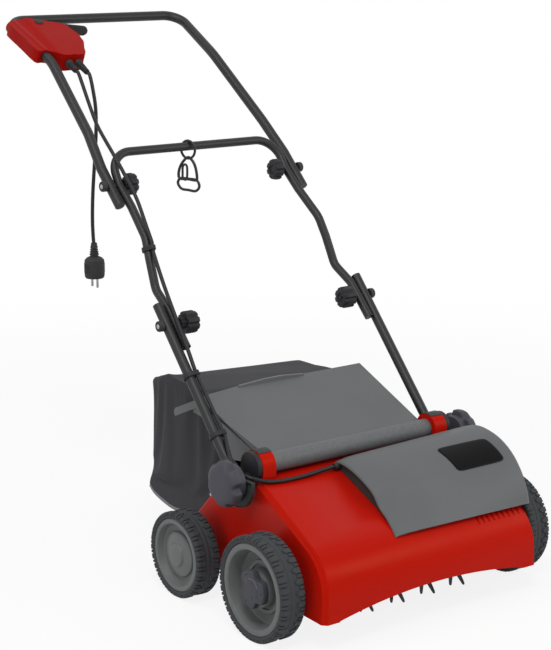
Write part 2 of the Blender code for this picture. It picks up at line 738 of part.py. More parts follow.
def build_wheels(asm):
    for where, side in (("left", -1), ("right", 1)):
        centre = FRONT_WHEEL
        x = FRONT_WHEEL_INNER
        rim = build_wheel(asm, f"front_{where}", side, centre, FRONT_WHEEL[1], x, FRONT_STEPS)
        bore, edge, hub = STUB_RADIUS + FIT, x + WHEEL_WIDTH - 0.0025, x + WHEEL_WIDTH - HUB_DEPTH
        profile = [(bore, x), (0.018, x), (0.020, x + 0.010), (rim - 0.010, x + 0.006), (rim, x + 0.0025)]
        profile += [(rim, edge), (rim - 0.0105, edge - 0.001), (rim - 0.0145, x + 0.018)]
        profile += [(0.034, x + 0.016), (0.031, hub), (bore, hub)]
        profile = [(r, side * along) for r, along in profile]
        pivot = across(centre)
        asm.add(f"rim_front_{where}", turned(profile, pivot, True, FRONT_STEPS), asm.rim, pivot)
        centre = REAR_WHEEL
        x = REAR_WHEEL_INNER
        rim = build_wheel(asm, f"rear_{where}", side, centre, REAR_WHEEL[1], x, REAR_STEPS)
        bore = REAR_AXLE_RADIUS + FIT
        outer = x + WHEEL_WIDTH
        profile = [(0, outer - 0.0102), (bore, outer - 0.0102), (bore, x), (0.014, x), (0.016, x + 0.012)]
        profile += [(rim - 0.010, x + 0.008), (rim, x + 0.0025), (rim, outer - 0.0025)]
        profile += [(rim - 0.009, outer - 0.0035), (rim - 0.013, outer - 0.016), (0.027, outer - 0.016)]
        profile += [(0.024, outer - 0.006), (0.014, outer - 0.002), (0, outer - 0.0005)]
        profile = [(r, side * along) for r, along in profile]
        pivot = across(centre)
        asm.add(f"rim_rear_{where}", turned(profile, pivot, False, REAR_STEPS), asm.rim, pivot)
    end = REAR_WHEEL_INNER + WHEEL_WIDTH - 0.011
    asm.add("rear_axle", rod(-end, end, REAR_AXLE_RADIUS, REAR_WHEEL, 12), asm.steel)


def scalloped(radius, lobes, depth, count=48):
    """Radii of a round knob's edge, with finger hollows."""
    out = []
    for i in range(count):
        turn = 2 * math.pi * i / count
        dip = max(0.0, math.cos(lobes * turn)) ** 1.5
        out.append((turn, radius - depth * dip))
    return out


def knob_body(levels, edge, centre):
    """A knob from rings at places along X: each level is (x, share of the edge radius)."""
    rings = []
    for x, share in levels:
        ring = [
            (x, centre[0] + r * share * math.cos(t), centre[1] + r * share * math.sin(t)) for t, r in edge
        ]
        rings.append(ring)
    return loft(rings)


def build_adjusters(asm):
    boss = (FRONT_WHEEL[0] - ECCENTRIC, FRONT_WHEEL[1])
    for where, side in (("left", -1), ("right", 1)):
        pivot = across(boss)
        ends = between(side, BOSS_START + 0.0065, FRONT_WHEEL_INNER - 0.0007)
        axle = asm.add(f"front_axle_{where}", rod(*ends, STUB_RADIUS - 0.002, boss), asm.steel, pivot)
        tip = FRONT_WHEEL_INNER + WHEEL_WIDTH - HUB_DEPTH + 0.0003
        asm.fuse(axle, rod(*between(side, FRONT_WHEEL_INNER - 0.0035, tip), STUB_RADIUS, FRONT_WHEEL))
        edge = scalloped(0.0255, 3, 0.008, 18)
        levels = [(0.0004, 0.96), (0.0015, 1.0), (0.0100, 1.0), (0.0125, 0.88)]
        levels = [(side * (tip + x), share) for x, share in levels]
        asm.add(f"depth_adjuster_{where}", knob_body(levels, edge, FRONT_WHEEL), asm.knob, pivot)


def handle_paths():
    wide = MIDDLE_X_LOW
    upper = [(UPPER_X, 0.394, 0.637, 0), (UPPER_X, 0.455, 0.697, 0.05), (UPPER_X - 0.0089, 0.514, 0.755, 0.12)]
    upper += [(UPPER_X - 0.0214, 0.663, 0.876, 0.10), (GRIP_LEG_X, *GRIP, 0.035)]
    middle = [(wide, 0.1886, 0.416, 0), (wide, 0.2438, 0.4735, 0.03), (wide - 0.0032, 0.2887, 0.501, 0.03)]
    middle += [(wide - 0.006, 0.312, 0.552, 0.06), (wide - 0.010, 0.330, 0.588, 0.05)]
    middle += [(MIDDLE_X_HIGH, 0.385, 0.6352, 0.05), (MIDDLE_X_HIGH, *UPPER_PIVOT, 0.04)]
    middle += [(MIDDLE_X_HIGH - 0.003, *CROSSBAR, 0.045)]
    return [
        [(-x, y, z, r) for x, y, z, r in half] + [tuple(point) for point in reversed(half)]
        for half in (upper, middle)
    ]


def build_handle(asm):
    upper_path, middle_path = (filleted(path, step=30) for path in handle_paths())
    upper = asm.add("upper_handle", tube(upper_path, UPPER_RADIUS), asm.black, across(UPPER_PIVOT))
    middle = asm.add("middle_handle", tube(middle_path, MIDDLE_RADIUS), asm.black, across(LOWER_PIVOT))
    bars = []
    for where, side in (("left", -1), ("right", 1)):
        x = side * LOWER_BAR_X
        path = [(x, 0.2515, 0.483, 0), (x, 0.047, 0.2535, 0.03), (x, *BASE_PIVOT, 0)]
        shape = tube(filleted(path, step=24), LOWER_BAR_RADIUS)
        bar = asm.add(f"lower_bar_{where}", shape, asm.black, across(BASE_PIVOT))
        ends = between(side, LOWER_BAR_X - BOSS_HALF, LOWER_BAR_X + BOSS_HALF)
        asm.fuse(bar, rod(*ends, BASE_BOSS_RADIUS, BASE_PIVOT))
        ends = between(side, LOWER_BAR_X - 0.02, LOWER_BAR_X + 0.02)
        asm.cut(bar, rod(*ends, STUD_HOLE, BASE_PIVOT, 12))
        bars.append(bar)
    for side, bar in zip((-1, 1), bars):
        ends = between(side, MIDDLE_X_HIGH - 0.02, LOWER_BAR_X + 0.02)
        hole = asm.cut(bar, rod(*ends, BOLT_HOLE, LOWER_PIVOT, 10))
        asm.share(middle, hole)
        hole = asm.cut(upper, rod(*ends, BOLT_HOLE, UPPER_PIVOT, 10))
        asm.share(middle, hole)
    return upper_path


def star_knob(asm, name, side, centre, face, end, open_end):
    """A clamp knob on the inner side of a leg. face is its side towards the tube."""
    edge = scalloped(0.020, 8, 0.0032, 16)
    levels = [(face, 0.50), (face - 0.008, 0.54), (face - 0.0082, 0.97)]
    levels += [(end + 0.004, 1.0), (end, 0.84)]
    body = knob_body([(side * x, share) for x, share in levels], edge, centre)
    knob = asm.add(name, body, asm.knob, across(centre))
    deep = end - 0.01 if open_end else end + 0.006
    asm.cut(knob, rod(*between(side, deep, face + 0.01), BOLT_HOLE, centre, 10))


def bolt(asm, name, side, centre, tip, face):
    """A bolt whose head lies on the outer side of the leg."""
    profile = [(0, tip), (BOLT_RADIUS, tip), (BOLT_RADIUS, face), (0.0095, face), (0.0095, face + 0.0085)]
    profile += [(0.0075, face + 0.010), (0.0, face + 0.010)]
    profile = [(r, side * x) for r, x in profile]
    asm.add(name, turned(profile, across(centre), steps=10), asm.steel, across(centre))


def build_clamps(asm):
    bush_end = LOWER_BAR_X - BOSS_HALF - 0.0004
    for where, side in (("left", -1), ("right", 1)):
        low, high = MIDDLE_X_LOW - 0.0085, MIDDLE_X_HIGH - 0.0084
        star_knob(asm, f"lower_star_knob_{where}", side, LOWER_PIVOT, low, low - 0.033, True)
        bolt(asm, f"lower_bolt_{where}", side, LOWER_PIVOT, low - 0.0345, LOWER_BAR_X + LOWER_BAR_RADIUS + FIT)
        star_knob(asm, f"upper_star_knob_{where}", side, UPPER_PIVOT, high, high - 0.0246, False)
        bolt(asm, f"upper_bolt_{where}", side, UPPER_PIVOT, high - 0.0171, UPPER_X + UPPER_RADIUS + FIT)
        hole = arc(BASE_PIVOT, STUD_HOLE, 0, 330, 11)
        rim = arc(FLAP_AXIS, EAR_RADIUS - 0.0006, 0, 337.5, 15)
        bush = prism([rim, hole], *between(side, EAR_OUTER + 0.0005, bush_end))
        asm.add(f"base_bush_{where}", bush, asm.knob)
        guard = arc(BASE_PIVOT, BASE_WASHER_RADIUS, -190, 10, 14)
        washer = prism([guard, hole], *between(side, WASHER_START, WASHER_START + WASHER))
        asm.add(f"base_washer_{where}", washer, asm.knob, across(BASE_PIVOT))
        edge = scalloped(BASE_KNOB_RADIUS, 6, 0.0075, 24)
        levels = [(0.0, 0.94), (0.0020, 1.0), (0.0225, 1.0), (0.0350, 0.80)]
        start = WASHER_START + WASHER + 0.0004
        levels = [(side * (start + x), share) for x, share in levels]
        knob = asm.add(f"base_knob_{where}", knob_body(levels, edge, BASE_PIVOT), asm.knob, across(BASE_PIVOT))
        asm.fuse(knob, rod(*between(side, EAR_INNER + 0.0135, start + 0.006), BASE_STUD, BASE_PIVOT, 12))


def plane_rod(x, down, low, high, radius, steps=14):
    """A cylinder square to the handle plane, at a distance down the slope from the grip."""
    profile = [(0, low), (radius, low), (radius, high), (0, high)]
    mesh = turned(profile, (0, 0, 0), steps=steps, turn=Matrix.Identity(4))
    mesh.transform(HANDLE_PLANE @ Matrix.Translation((x, -down, 0)))
    return mesh


BOX_END = 0.167
# Where the box is thin round the leg and where it is deep, with its top and floor there.
BOX_THIN = (0.012, 0.0130, -0.0130)
BOX_DEEP = (0.040, 0.0165, -0.0180)
LEVER_PIVOT = (0.028, 0.026)
LEVER_START = (0.042, 0.0197)
LEVER_END = (0.155, 0.051)
BUTTON = (0.050, 0.0371)
BUTTON_REST = 0.0115
BUTTON_HEIGHT = 0.0075
BUTTON_TRAVEL = 0.004


def box_body(outline):
    """The switch box before it is hollowed: thin where it hugs the leg, deeper over the switch."""
    mesh = prism([outline], -1, 1, Matrix.Identity(4))
    work = bmesh.new()
    work.from_mesh(mesh)
    for bend in (BOX_THIN[0], BOX_DEEP[0]):
        everything = work.verts[:] + work.edges[:] + work.faces[:]
        bmesh.ops.bisect_plane(work, geom=everything, plane_co=(bend, 0, 0), plane_no=(1, 0, 0))
    for vertex in work.verts:
        share = min(max((vertex.co.x - BOX_THIN[0]) / (BOX_DEEP[0] - BOX_THIN[0]), 0), 1)
        level = 1 if vertex.co.z > 0 else 2
        vertex.co.z = BOX_THIN[level] + (BOX_DEEP[level] - BOX_THIN[level]) * share
    work.to_mesh(mesh)
    work.free()
    mesh.transform(HANDLE_PLANE)
    return mesh


def build_switch(asm, upper_path):
    outline = [(-0.017, 0.030), (-0.009, 0.012), (0.032, 0.0165), (0.050, 0.0270), (0.096, 0.0410)]
    outline += [(0.106, 0.050), (0.115, 0.089), (0.110, 0.122), (0.084, BOX_END)]
    outline += [(0.035, BOX_END), (0.022, 0.150), (-0.0005, 0.148)]
    outline = [(x, -down) for x, down in outline]
    box = asm.add("switch_box", box_body(outline), asm.red)
    bevel = box.modifiers.new("Bevel", "BEVEL")
    bevel.width = 0.004
    bevel.segments = 1
    bevel.limit_method = "ANGLE"
    bevel.angle_limit = math.radians(60)
    leg = [point for point in upper_path if point[0] < 0]
    asm.cut(box, tube(leg, UPPER_RADIUS + FIT))
    slot = block((0.018, -0.036, -0.0103), (0.050, 0.02, 0.0103))
    slot.transform(HANDLE_PLANE)
    asm.cut(box, slot)
    asm.cut(box, plane_rod(*BUTTON, BUTTON_REST - BUTTON_TRAVEL - FIT, 0.04, 0.0085))
    asm.fuse(box, plane_rod(*LEVER_PIVOT, -0.0115, 0.0115, 0.0019, 10))
    eye = turned(
        [(0.0022, -0.0098), (0.005, -0.0098), (0.005, 0.0098), (0.0022, 0.0098)],
        (0, 0, 0),
        closed=True,
        steps=10,
        turn=Matrix.Identity(4),
    )
    eye.transform(HANDLE_PLANE @ Matrix.Translation((LEVER_PIVOT[0], -LEVER_PIVOT[1], 0)))
    hinge = HANDLE_PLANE @ Vector((LEVER_PIVOT[0], -LEVER_PIVOT[1], 0))
    lever = asm.add("switch_lever", eye, asm.black, hinge)
    start, end = Vector((LEVER_START[0], -LEVER_START[1])), Vector((LEVER_END[0], -LEVER_END[1]))
    along = (end - start).normalized()
    across_strip = Vector((-along.y, along.x)) * 0.002
    eye_side = Vector((LEVER_PIVOT[0], -LEVER_PIVOT[1]))
    outward = (start - eye_side).normalized()
    link_side = Vector((-outward.y, outward.x)) * 0.002
    near = eye_side + outward * 0.0036
    link = [near + link_side, near - link_side, start - across_strip, start + along * 0.004 - across_strip]
    link += [start + along * 0.004 + across_strip, start + across_strip]
    asm.fuse(lever, prism([[tuple(p) for p in link]], -0.0098, 0.0098, HANDLE_PLANE))
    length = (end - start).length
    strip = [(0.0, -0.010), (length - 0.010, -0.010)]
    strip += arc((length - 0.010, 0), 0.010, -75, 75, 5) + [(length - 0.010, 0.010), (0.0, 0.010)]
    blade = prism([strip], -0.002, 0.002, Matrix.Identity(4))
    blade.transform(Matrix.Rotation(math.radians(90), 4, "X"))
    blade.transform(Matrix.Rotation(math.atan2(along.y, along.x), 4, "Z"))
    blade.transform(HANDLE_PLANE @ Matrix.Translation((*start, 0)))
    asm.fuse(lever, blade)
    rest = HANDLE_PLANE @ Vector((BUTTON[0], -BUTTON[1], BUTTON_REST))
    cap = plane_rod(*BUTTON, BUTTON_REST, BUTTON_REST + BUTTON_HEIGHT, 0.0080)
    asm.add("safety_button", cap, asm.black, rest)
    near = BOX_END + FIT
    for name, x, far in (("motor_lead_boot", MOTOR_LEAD_X, 0.197), ("plug_lead_boot", PLUG_LEAD_X, 0.2050)):
        profile = [(0, near), (0.0078, near), (0.0072, near + 0.010), (0.0055, far), (LEAD_RADIUS + FIT, far)]
        profile += [(LEAD_RADIUS + FIT, far - 0.010), (0, far - 0.010)]
        shape = turned(profile, (0, 0, 0), steps=12, turn=Matrix.Rotation(math.radians(90), 4, "X"))
        shape.transform(HANDLE_PLANE @ Matrix.Translation((x, 0, 0)))
        asm.add(name, shape, asm.black)


def clip(asm, name, on_tube, on_lead, along, tube_radius):
    """A band round a tube with a smaller eye beside it for the lead."""
    centre, lead = Vector(on_tube), Vector(on_lead)
    axis = Vector(along).normalized()
    reach = lead - centre
    reach -= axis * reach.dot(axis)
    gap = reach.length
    outer, small = tube_radius + 0.0028, LEAD_RADIUS + 0.0022
    lean = math.degrees(math.acos((outer - small) / gap))
    outline = arc((0, 0), outer, lean, 360 - lean, 10) + arc((gap, 0), small, -lean, lean, 4)
    outline = outline[:-1] if math.dist(outline[0], outline[-1]) < 1e-6 else outline
    holes = [arc((0, 0), tube_radius + 0.0004, 0, 330, 11), arc((gap, 0), LEAD_RADIUS + FIT, 0, 330, 11)]
    mesh = prism([outline, *holes], -0.004, 0.004, Matrix.Identity(4))
    sideways = reach.normalized()
    frame = Matrix((sideways, axis.cross(sideways), axis)).transposed().to_4x4()
    mesh.transform(Matrix.Translation(centre) @ frame)
    asm.add(name, mesh, asm.knob)
    return centre + reach


def through(eye, along, places):
    """Points on the axis of a clip's eye, so that the lead runs straight in it."""
    return [eye + along * place for place in places]


BAR_ALONG = Vector((0, 0.2045, 0.2295)).normalized()
BAR_FRONT = Vector((0, -BAR_ALONG.z, BAR_ALONG.y))
LEG_ALONG = Vector((0.0040, 0.018, 0.036)).normalized()


def build_leads(asm):
    bar, middle, edge = -LOWER_BAR_X, -MIDDLE_X_LOW, -SKIRT_HALF_WIDTH
    eyes = {}
    for name, where in (("cable_clip_middle", (bar, 0.155, 0.3747)), ("cable_clip_lower", (bar, 0.077, 0.2872))):
        centre = Vector(where)
        lead = centre + Vector((0.0100, 0, 0)) + BAR_FRONT * 0.0088
        eyes[name] = clip(asm, name, centre, lead, BAR_ALONG, LOWER_BAR_RADIUS)
    leg = Vector((middle + 0.0077, 0.3200, 0.5680))
    lead = leg + Vector((0.003, -0.0111, 0.0056))
    eyes["cable_clip_upper"] = clip(asm, "cable_clip_upper", leg, lead, LEG_ALONG, MIDDLE_RADIUS)
    top = -UPPER_X
    upper = [HANDLE_PLANE @ Vector((MOTOR_LEAD_X, -d, 0)) for d in (0.1885, 0.1995, 0.2065)]
    upper += [(top + 0.0544, 0.6085, 0.838), (top + 0.0464, 0.5650, 0.7935), (top + 0.0384, 0.5261, 0.7626)]
    upper += [(top + 0.0224, 0.4440, 0.7180), (top + 0.0199, 0.4000, 0.6825), (top + 0.0174, 0.3640, 0.6500)]
    eye = eyes["cable_clip_upper"]
    upper += [(top + 0.0139, 0.3300, 0.6080), *through(eye, LEG_ALONG, (0.012, 0.006, FIT / 2))]
    asm.add("motor_lead_upper", tube(upper, LEAD_RADIUS, 1), asm.black, across(UPPER_PIVOT))
    low = eyes["cable_clip_lower"]
    mid = eyes["cable_clip_middle"]
    lower = [*through(eye, LEG_ALONG, (-FIT / 2, -0.006, -0.012)), (middle + 0.0035, 0.2640, 0.5150)]
    lower += [(middle - 0.0040, 0.2130, 0.4610), (middle - 0.0060, 0.1780, 0.4180)]
    lower += through(mid, BAR_ALONG, (0.010, 0.005, -0.005, -0.010))
    lower += through(low, BAR_ALONG, (0.012, 0.006, FIT / 2))
    asm.add("motor_lead_lower", tube(lower, LEAD_RADIUS, 1), asm.black, across(LOWER_PIVOT))
    deck = [*through(low, BAR_ALONG, (-FIT / 2, -0.005, -0.009)), (bar + 0.0012, 0.0430, 0.2700)]
    deck += [(bar - 0.0062, 0.0220, 0.2560), (bar - 0.0096, 0.0030, 0.2476), (bar - 0.0100, -0.0120, 0.2438)]
    deck += [(edge + 0.0065, -0.0250, 0.2413), (edge + 0.0150, -0.0318, 0.2385), (edge + 0.0260, -0.0365, 0.2345)]
    deck += [(edge + 0.0420, -0.0410, 0.2312), (edge + 0.0720, -0.0440, 0.2295), (edge + 0.1150, -0.0440, 0.2300)]
    start = HOOD_LEFT_X
    deck += [(start - 0.0400, -0.0425, 0.2315), (start - 0.0200, -0.0430, 0.2330), (start - 0.0095, *GLAND)]
    deck += [(start - 0.0030, *GLAND), (start + 0.0030, *GLAND)]
    asm.add("motor_lead_deck", tube(deck, LEAD_RADIUS, 1), asm.black)
    hanging = [HANDLE_PLANE @ Vector((PLUG_LEAD_X, -d, 0)) for d in (0.1965, 0.2075, 0.2145)]
    drop = [(0.6080, 0.8300), (0.5980, 0.7900), (0.5990, 0.7400), (0.6060, 0.6900), (0.6150, 0.6300)]
    drop += [(0.6190, 0.5800), (0.6180, 0.5450), (0.6160, 0.5280), (0.6155, 0.5150)]
    hanging += [(PLUG_LEAD_X - GRIP_LEG_X, *point) for point in drop]
    asm.add("plug_lead", tube(hanging, LEAD_RADIUS, 1), asm.black)


def build_plug(asm):
    bore = LEAD_RADIUS + 0.0006
    profile = [(0, 0.513), (bore, 0.513), (bore, 0.528), (0.0058, 0.528), (0.0085, 0.505), (0.0165, 0.500)]
    profile += [(0.0195, 0.492), (0.0195, 0.468), (0.0178, 0.462), (0, 0.462)]
    centre = (PLUG_LEAD_X - GRIP_LEG_X, 0.6155, 0.0)
    flat = Matrix.Identity(4)
    plug = asm.add("plug", turned(profile, centre, steps=12, turn=flat), asm.black)
    pins = []
    for x in (-0.0095, 0.0095):
        pin = [(0, 0.4445), (0.0018, 0.4445), (0.0024, 0.446), (0.0024, 0.465), (0, 0.465)]
        pins.append(turned(pin, (centre[0] + x, centre[1], 0), steps=8, turn=flat))
    asm.fuse(plug, joined(pins))


def build_hook(asm):
    """The wire hook that hangs on the crossbar and holds the lead clear of the ground."""
    centre = Vector((-0.013, CROSSBAR[0], CROSSBAR[1] + MIDDLE_RADIUS + FIT - 0.0145))
    sideways = Vector((0.28, -0.96, 0)).normalized()

    def placed(points):
        return [tuple(centre + sideways * h + Vector((0, 0, z - centre.z))) for h, z in points]

    ring = arc((0, centre.z), 0.0165, 90, 90 + 360 * 13 / 14, 13)
    hook = asm.add("cable_hook", tube(placed(ring), 0.002, 1, True), asm.black, across(CROSSBAR))
    bow = [(0, 0.7035), (0.0165, 0.690), (0.023, 0.676), (0.029, 0.660), (0.024, 0.645), (0.008, 0.637)]
    bow += [(-h, z) for h, z in reversed(bow[1:])]
    asm.fuse(hook, tube(placed(bow), 0.0021, 1, True))
    bight = [(0, 0.7018), (0.0055, 0.691), (0.0066, 0.678), (0, 0.6715), (-0.0066, 0.678), (-0.0055, 0.691)]
    asm.fuse(hook, tube(placed(bight), 0.0015, 1, True))


def main():
    clear_scene()
    asm = Assembly()
    build_deck(asm)
    build_hood(asm)
    build_motor(asm)
    build_roller(asm)
    build_flap(asm)
    build_bag(asm)
    build_wheels(asm)
    build_adjusters(asm)
    upper_path = build_handle(asm)
    build_clamps(asm)
    build_switch(asm, upper_path)
    build_leads(asm)
    build_plug(asm)
    build_hook(asm)


main()
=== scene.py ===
"""Looks of an electric lawn aerator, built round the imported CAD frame.

Lengths are metres and Z is up. Pieces are drawn in machine coordinates, where y = 0 lies midway
between the wheel axles, -Y is the front and left means -X, the side with the switch box. Each
finished piece is shifted once into the frame's own coordinates, with its object at the origin.
"""

from __future__ import annotations

import json
import logging
import math
from collections.abc import Callable, Sequence
from dataclasses import dataclass
from enum import Enum
from itertools import pairwise

import bmesh
import bpy
from mathutils import Euler, Matrix, Vector

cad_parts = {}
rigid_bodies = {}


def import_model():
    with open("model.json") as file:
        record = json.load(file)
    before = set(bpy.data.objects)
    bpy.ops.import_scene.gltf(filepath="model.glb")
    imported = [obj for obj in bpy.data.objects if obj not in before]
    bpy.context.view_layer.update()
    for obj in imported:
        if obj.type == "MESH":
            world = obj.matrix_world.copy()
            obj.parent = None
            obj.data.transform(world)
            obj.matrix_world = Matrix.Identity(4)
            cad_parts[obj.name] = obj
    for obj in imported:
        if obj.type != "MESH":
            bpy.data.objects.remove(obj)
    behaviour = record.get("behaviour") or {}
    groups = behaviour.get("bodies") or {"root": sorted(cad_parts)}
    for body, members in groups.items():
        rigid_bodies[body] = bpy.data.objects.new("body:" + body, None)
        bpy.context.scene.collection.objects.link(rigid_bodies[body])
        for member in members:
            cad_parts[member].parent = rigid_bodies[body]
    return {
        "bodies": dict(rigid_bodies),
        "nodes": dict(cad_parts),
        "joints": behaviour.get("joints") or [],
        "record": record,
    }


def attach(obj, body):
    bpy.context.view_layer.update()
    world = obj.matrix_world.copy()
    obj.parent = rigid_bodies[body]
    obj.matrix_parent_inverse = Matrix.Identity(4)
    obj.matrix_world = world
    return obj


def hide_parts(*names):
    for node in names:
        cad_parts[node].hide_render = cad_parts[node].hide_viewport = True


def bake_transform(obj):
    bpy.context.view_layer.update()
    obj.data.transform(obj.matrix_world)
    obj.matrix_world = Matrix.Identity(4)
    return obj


log = logging.getLogger("aerator")

Point = Sequence[float]
FaceTest = Callable[[Vector, Vector], bool]

# The frame's origin lies this far behind the middle between the axles.
SHIFT = 0.29225
# Gap between pieces that sit in one another.
FIT = 0.0003
FRONT_WHEEL = (-0.118, 0.0884)
REAR_WHEEL = (0.118, 0.0756)
ROLLER = (-0.143, 0.083)
FLAP_AXIS = (-0.006, 0.2515)
BASE_PIVOT = (-0.004, 0.2310)
LOWER_PIVOT = (0.223, 0.4519)
UPPER_PIVOT = (0.4256, 0.670)
CROSSBAR = (0.462, 0.7237)
GRIP = (0.81, 0.946)
GRIP_SLOPE = math.radians(26.0)
GLAND = (-0.0430, 0.2335)
LEAD_RADIUS = 0.0035
# Radius of the holes for the base joints' studs.
STUD_HOLE = 0.0046
# Lower end of the switch box, down the slope from the grip.
BOX_END = 0.167
# Corners of the deck's side view, each with the radius of its rounding.
DECK_SIDE = (
    (-0.235, 0.050, 0.0),
    (-0.235, 0.142, 0.085),
    (-0.030, 0.2316, 0.030),
    (0.060, 0.2316, 0.020),
    (0.168, 0.122, 0.020),
    (0.168, 0.050, 0.0),
)
COS, SIN = math.cos(GRIP_SLOPE), math.sin(GRIP_SLOPE)
# Handle plane: x stays, y runs up the slope to the grip, z is the plane's normal.
HANDLE_PLANE = Matrix(((1, 0, 0, 0), (0, COS, -SIN, GRIP[0]), (0, SIN, COS, GRIP[1]), (0, 0, 0, 1)))
# Turns that lay a plane's axes and its height along the machine's axes.
ALONG_X = Matrix(((0, 0, 1, 0), (1, 0, 0, 0), (0, 1, 0, 0), (0, 0, 0, 1)))
ALONG_Y = Matrix(((1, 0, 0, 0), (0, 0, -1, 0), (0, 1, 0, 0), (0, 0, 0, 1)))
FLAT = Matrix.Identity(4)


class Side(Enum):
    """The machine's two sides, with the sign of their X."""

    LEFT = -1
    RIGHT = 1

    @property
    def word(self) -> str:
        """The side's name, as the frame's nodes and bodies have it."""
        return self.name.lower()

    @property
    def flip(self) -> Matrix:
        """Turns what is drawn on the right side into this side's."""
        return Matrix.Diagonal((self.value, 1, 1, 1))


class Surface(Enum):
    """What a finish's fine surface is like."""

    SKIN = "moulded skin"
    METAL = "worked metal"
    CLOTH = "plain weave"


def linear(value: float) -> float:
    """The linear light of one sRGB channel.

    Args:
        value: The channel, from 0 to 255.

    Returns:
        The channel in linear light, from 0 to 1.
    """
    value /= 255
    return value / 12.92 if value <= 0.04045 else ((value + 0.055) / 1.055) ** 2.4


def rgba(colour: Sequence[float]) -> tuple[float, float, float, float]:
    """The linear colour of an sRGB colour, with full alpha.

    Args:
        colour: Red, green and blue, from 0 to 255.

    Returns:
        Red, green, blue and alpha in linear light.
    """
    red, green, blue = (linear(channel) for channel in colour)
    return red, green, blue, 1.0


class Sketch:
    """A node tree that nodes are added to with their inputs set or linked."""

    def __init__(self, tree: bpy.types.NodeTree) -> None:
        """Keeps the tree.

        Args:
            tree: The node tree of a material, a world or a group.
        """
        self.tree = tree

    def add(self, kind: str, settings: dict | None = None, **inputs: object) -> bpy.types.Node:
        """Adds a node.

        Args:
            kind: The node's type name without the word ShaderNode, or a group node's whole name.
            settings: Properties of the node.
            **inputs: Input sockets by name, with _ for a space, or in1, in2 for a place in the row.
                A value is a socket to link from, or a plain value.

        Returns:
            The new node.
        """
        node = self.tree.nodes.new(kind if kind.startswith("Node") else f"ShaderNode{kind}")
        for name, value in (settings or {}).items():
            setattr(node, name, value)
        for name, value in inputs.items():
            numbered = name[:2] == "in" and name[2:].isdigit()
            place = int(name[2:]) if numbered else name.replace("_", " ")
            self.feed(node.inputs[place], value)
        return node

    def feed(self, socket: bpy.types.NodeSocket, value: object) -> None:
        """Sets a socket, or links it.

        Args:
            socket: The input socket.
            value: A plain value, or the output socket to link from.
        """
        if isinstance(value, bpy.types.NodeSocket):
            self.tree.links.new(value, socket)
        else:
            socket.default_value = value

    def scaled(self, colour: object, share: object) -> bpy.types.NodeSocket:
        """A colour times a number.

        Args:
            colour: Number triple or socket.
            share: The same, but one number.

        Returns:
            The resulting socket.
        """
        scale = {"operation": "SCALE"}
        return self.add("VectorMath", scale, in0=colour, Scale=share).outputs[0]

    def math(
        self, operation: str, a: object, b: object = 0.0, clamp: bool = False
    ) -> bpy.types.NodeSocket:
        """One step of arithmetic.

        Args:
            operation: The Math node's operation.
            a: First value or socket.
            b: Second value or socket.
            clamp: Whether the result is kept from 0 to 1.

        Returns:
            The result's socket.
        """
        settings = {"operation": operation, "use_clamp": clamp}
        return self.add("Math", settings, in0=a, in1=b).outputs[0]

    def blend(self, share: object, a: object, b: object, kind: str = "MIX") -> bpy.types.NodeSocket:
        """Mixes two colours.

        Args:
            share: How much of b, from 0 to 1.
            a: First colour or socket.
            b: Second colour or socket.
            kind: The Mix node's blend type.

        Returns:
            The mixed colour's socket.
        """
        node = self.add("Mix", {"data_type": "RGBA", "blend_type": kind})
        for place, value in ((0, share), (6, a), (7, b)):
            self.feed(node.inputs[place], value)
        return node.outputs[2]

    def ramp(
        self, value: object, low: float, high: float, start: float = 0.0, end: float = 1.0
    ) -> bpy.types.NodeSocket:
        """Maps a range smoothly onto another.

        Args:
            value: The value's socket.
            low: The value that gives start.
            high: The value that gives end.
            start: Result at low.
            end: Result at high.

        Returns:
            The result's socket.
        """
        node = self.add("MapRange", {"interpolation_type": "SMOOTHSTEP"}, Value=value)
        for name, number in (
            ("From Min", low), ("From Max", high), ("To Min", start), ("To Max", end)
        ):
            node.inputs[name].default_value = number
        return node.outputs[0]


def new_group(
    name: str, inputs: dict[str, object], outputs: dict[str, str]
) -> tuple[Sketch, object, object]:
    """Starts a shader node group.

    Args:
        name: The group's name.
        inputs: Names of the inputs with their default values.
        outputs: Names of the outputs with their socket types.

    Returns:
        The sketch of its tree, the outputs of its input node and the inputs of its output node.
    """
    tree = bpy.data.node_groups.new(name, "ShaderNodeTree")
    for label, value in inputs.items():
        kinds = {float: "NodeSocketFloat", tuple: "NodeSocketColor", str: "NodeSocketVector"}
        socket = tree.interface.new_socket(
            name=label, in_out="INPUT", socket_type=kinds[type(value)]
        )
        if not isinstance(value, str):
            socket.default_value = value
    for label, kind in outputs.items():
        tree.interface.new_socket(name=label, in_out="OUTPUT", socket_type=kind)
    sketch = Sketch(tree)
    return sketch, sketch.add("NodeGroupInput").outputs, sketch.add("NodeGroupOutput").inputs


COLOUR_OUT = {
    "Colour": "NodeSocketColor", "Roughness": "NodeSocketFloat", "Height": "NodeSocketFloat"
}
WHITE = (1.0, 1.0, 1.0, 1.0)


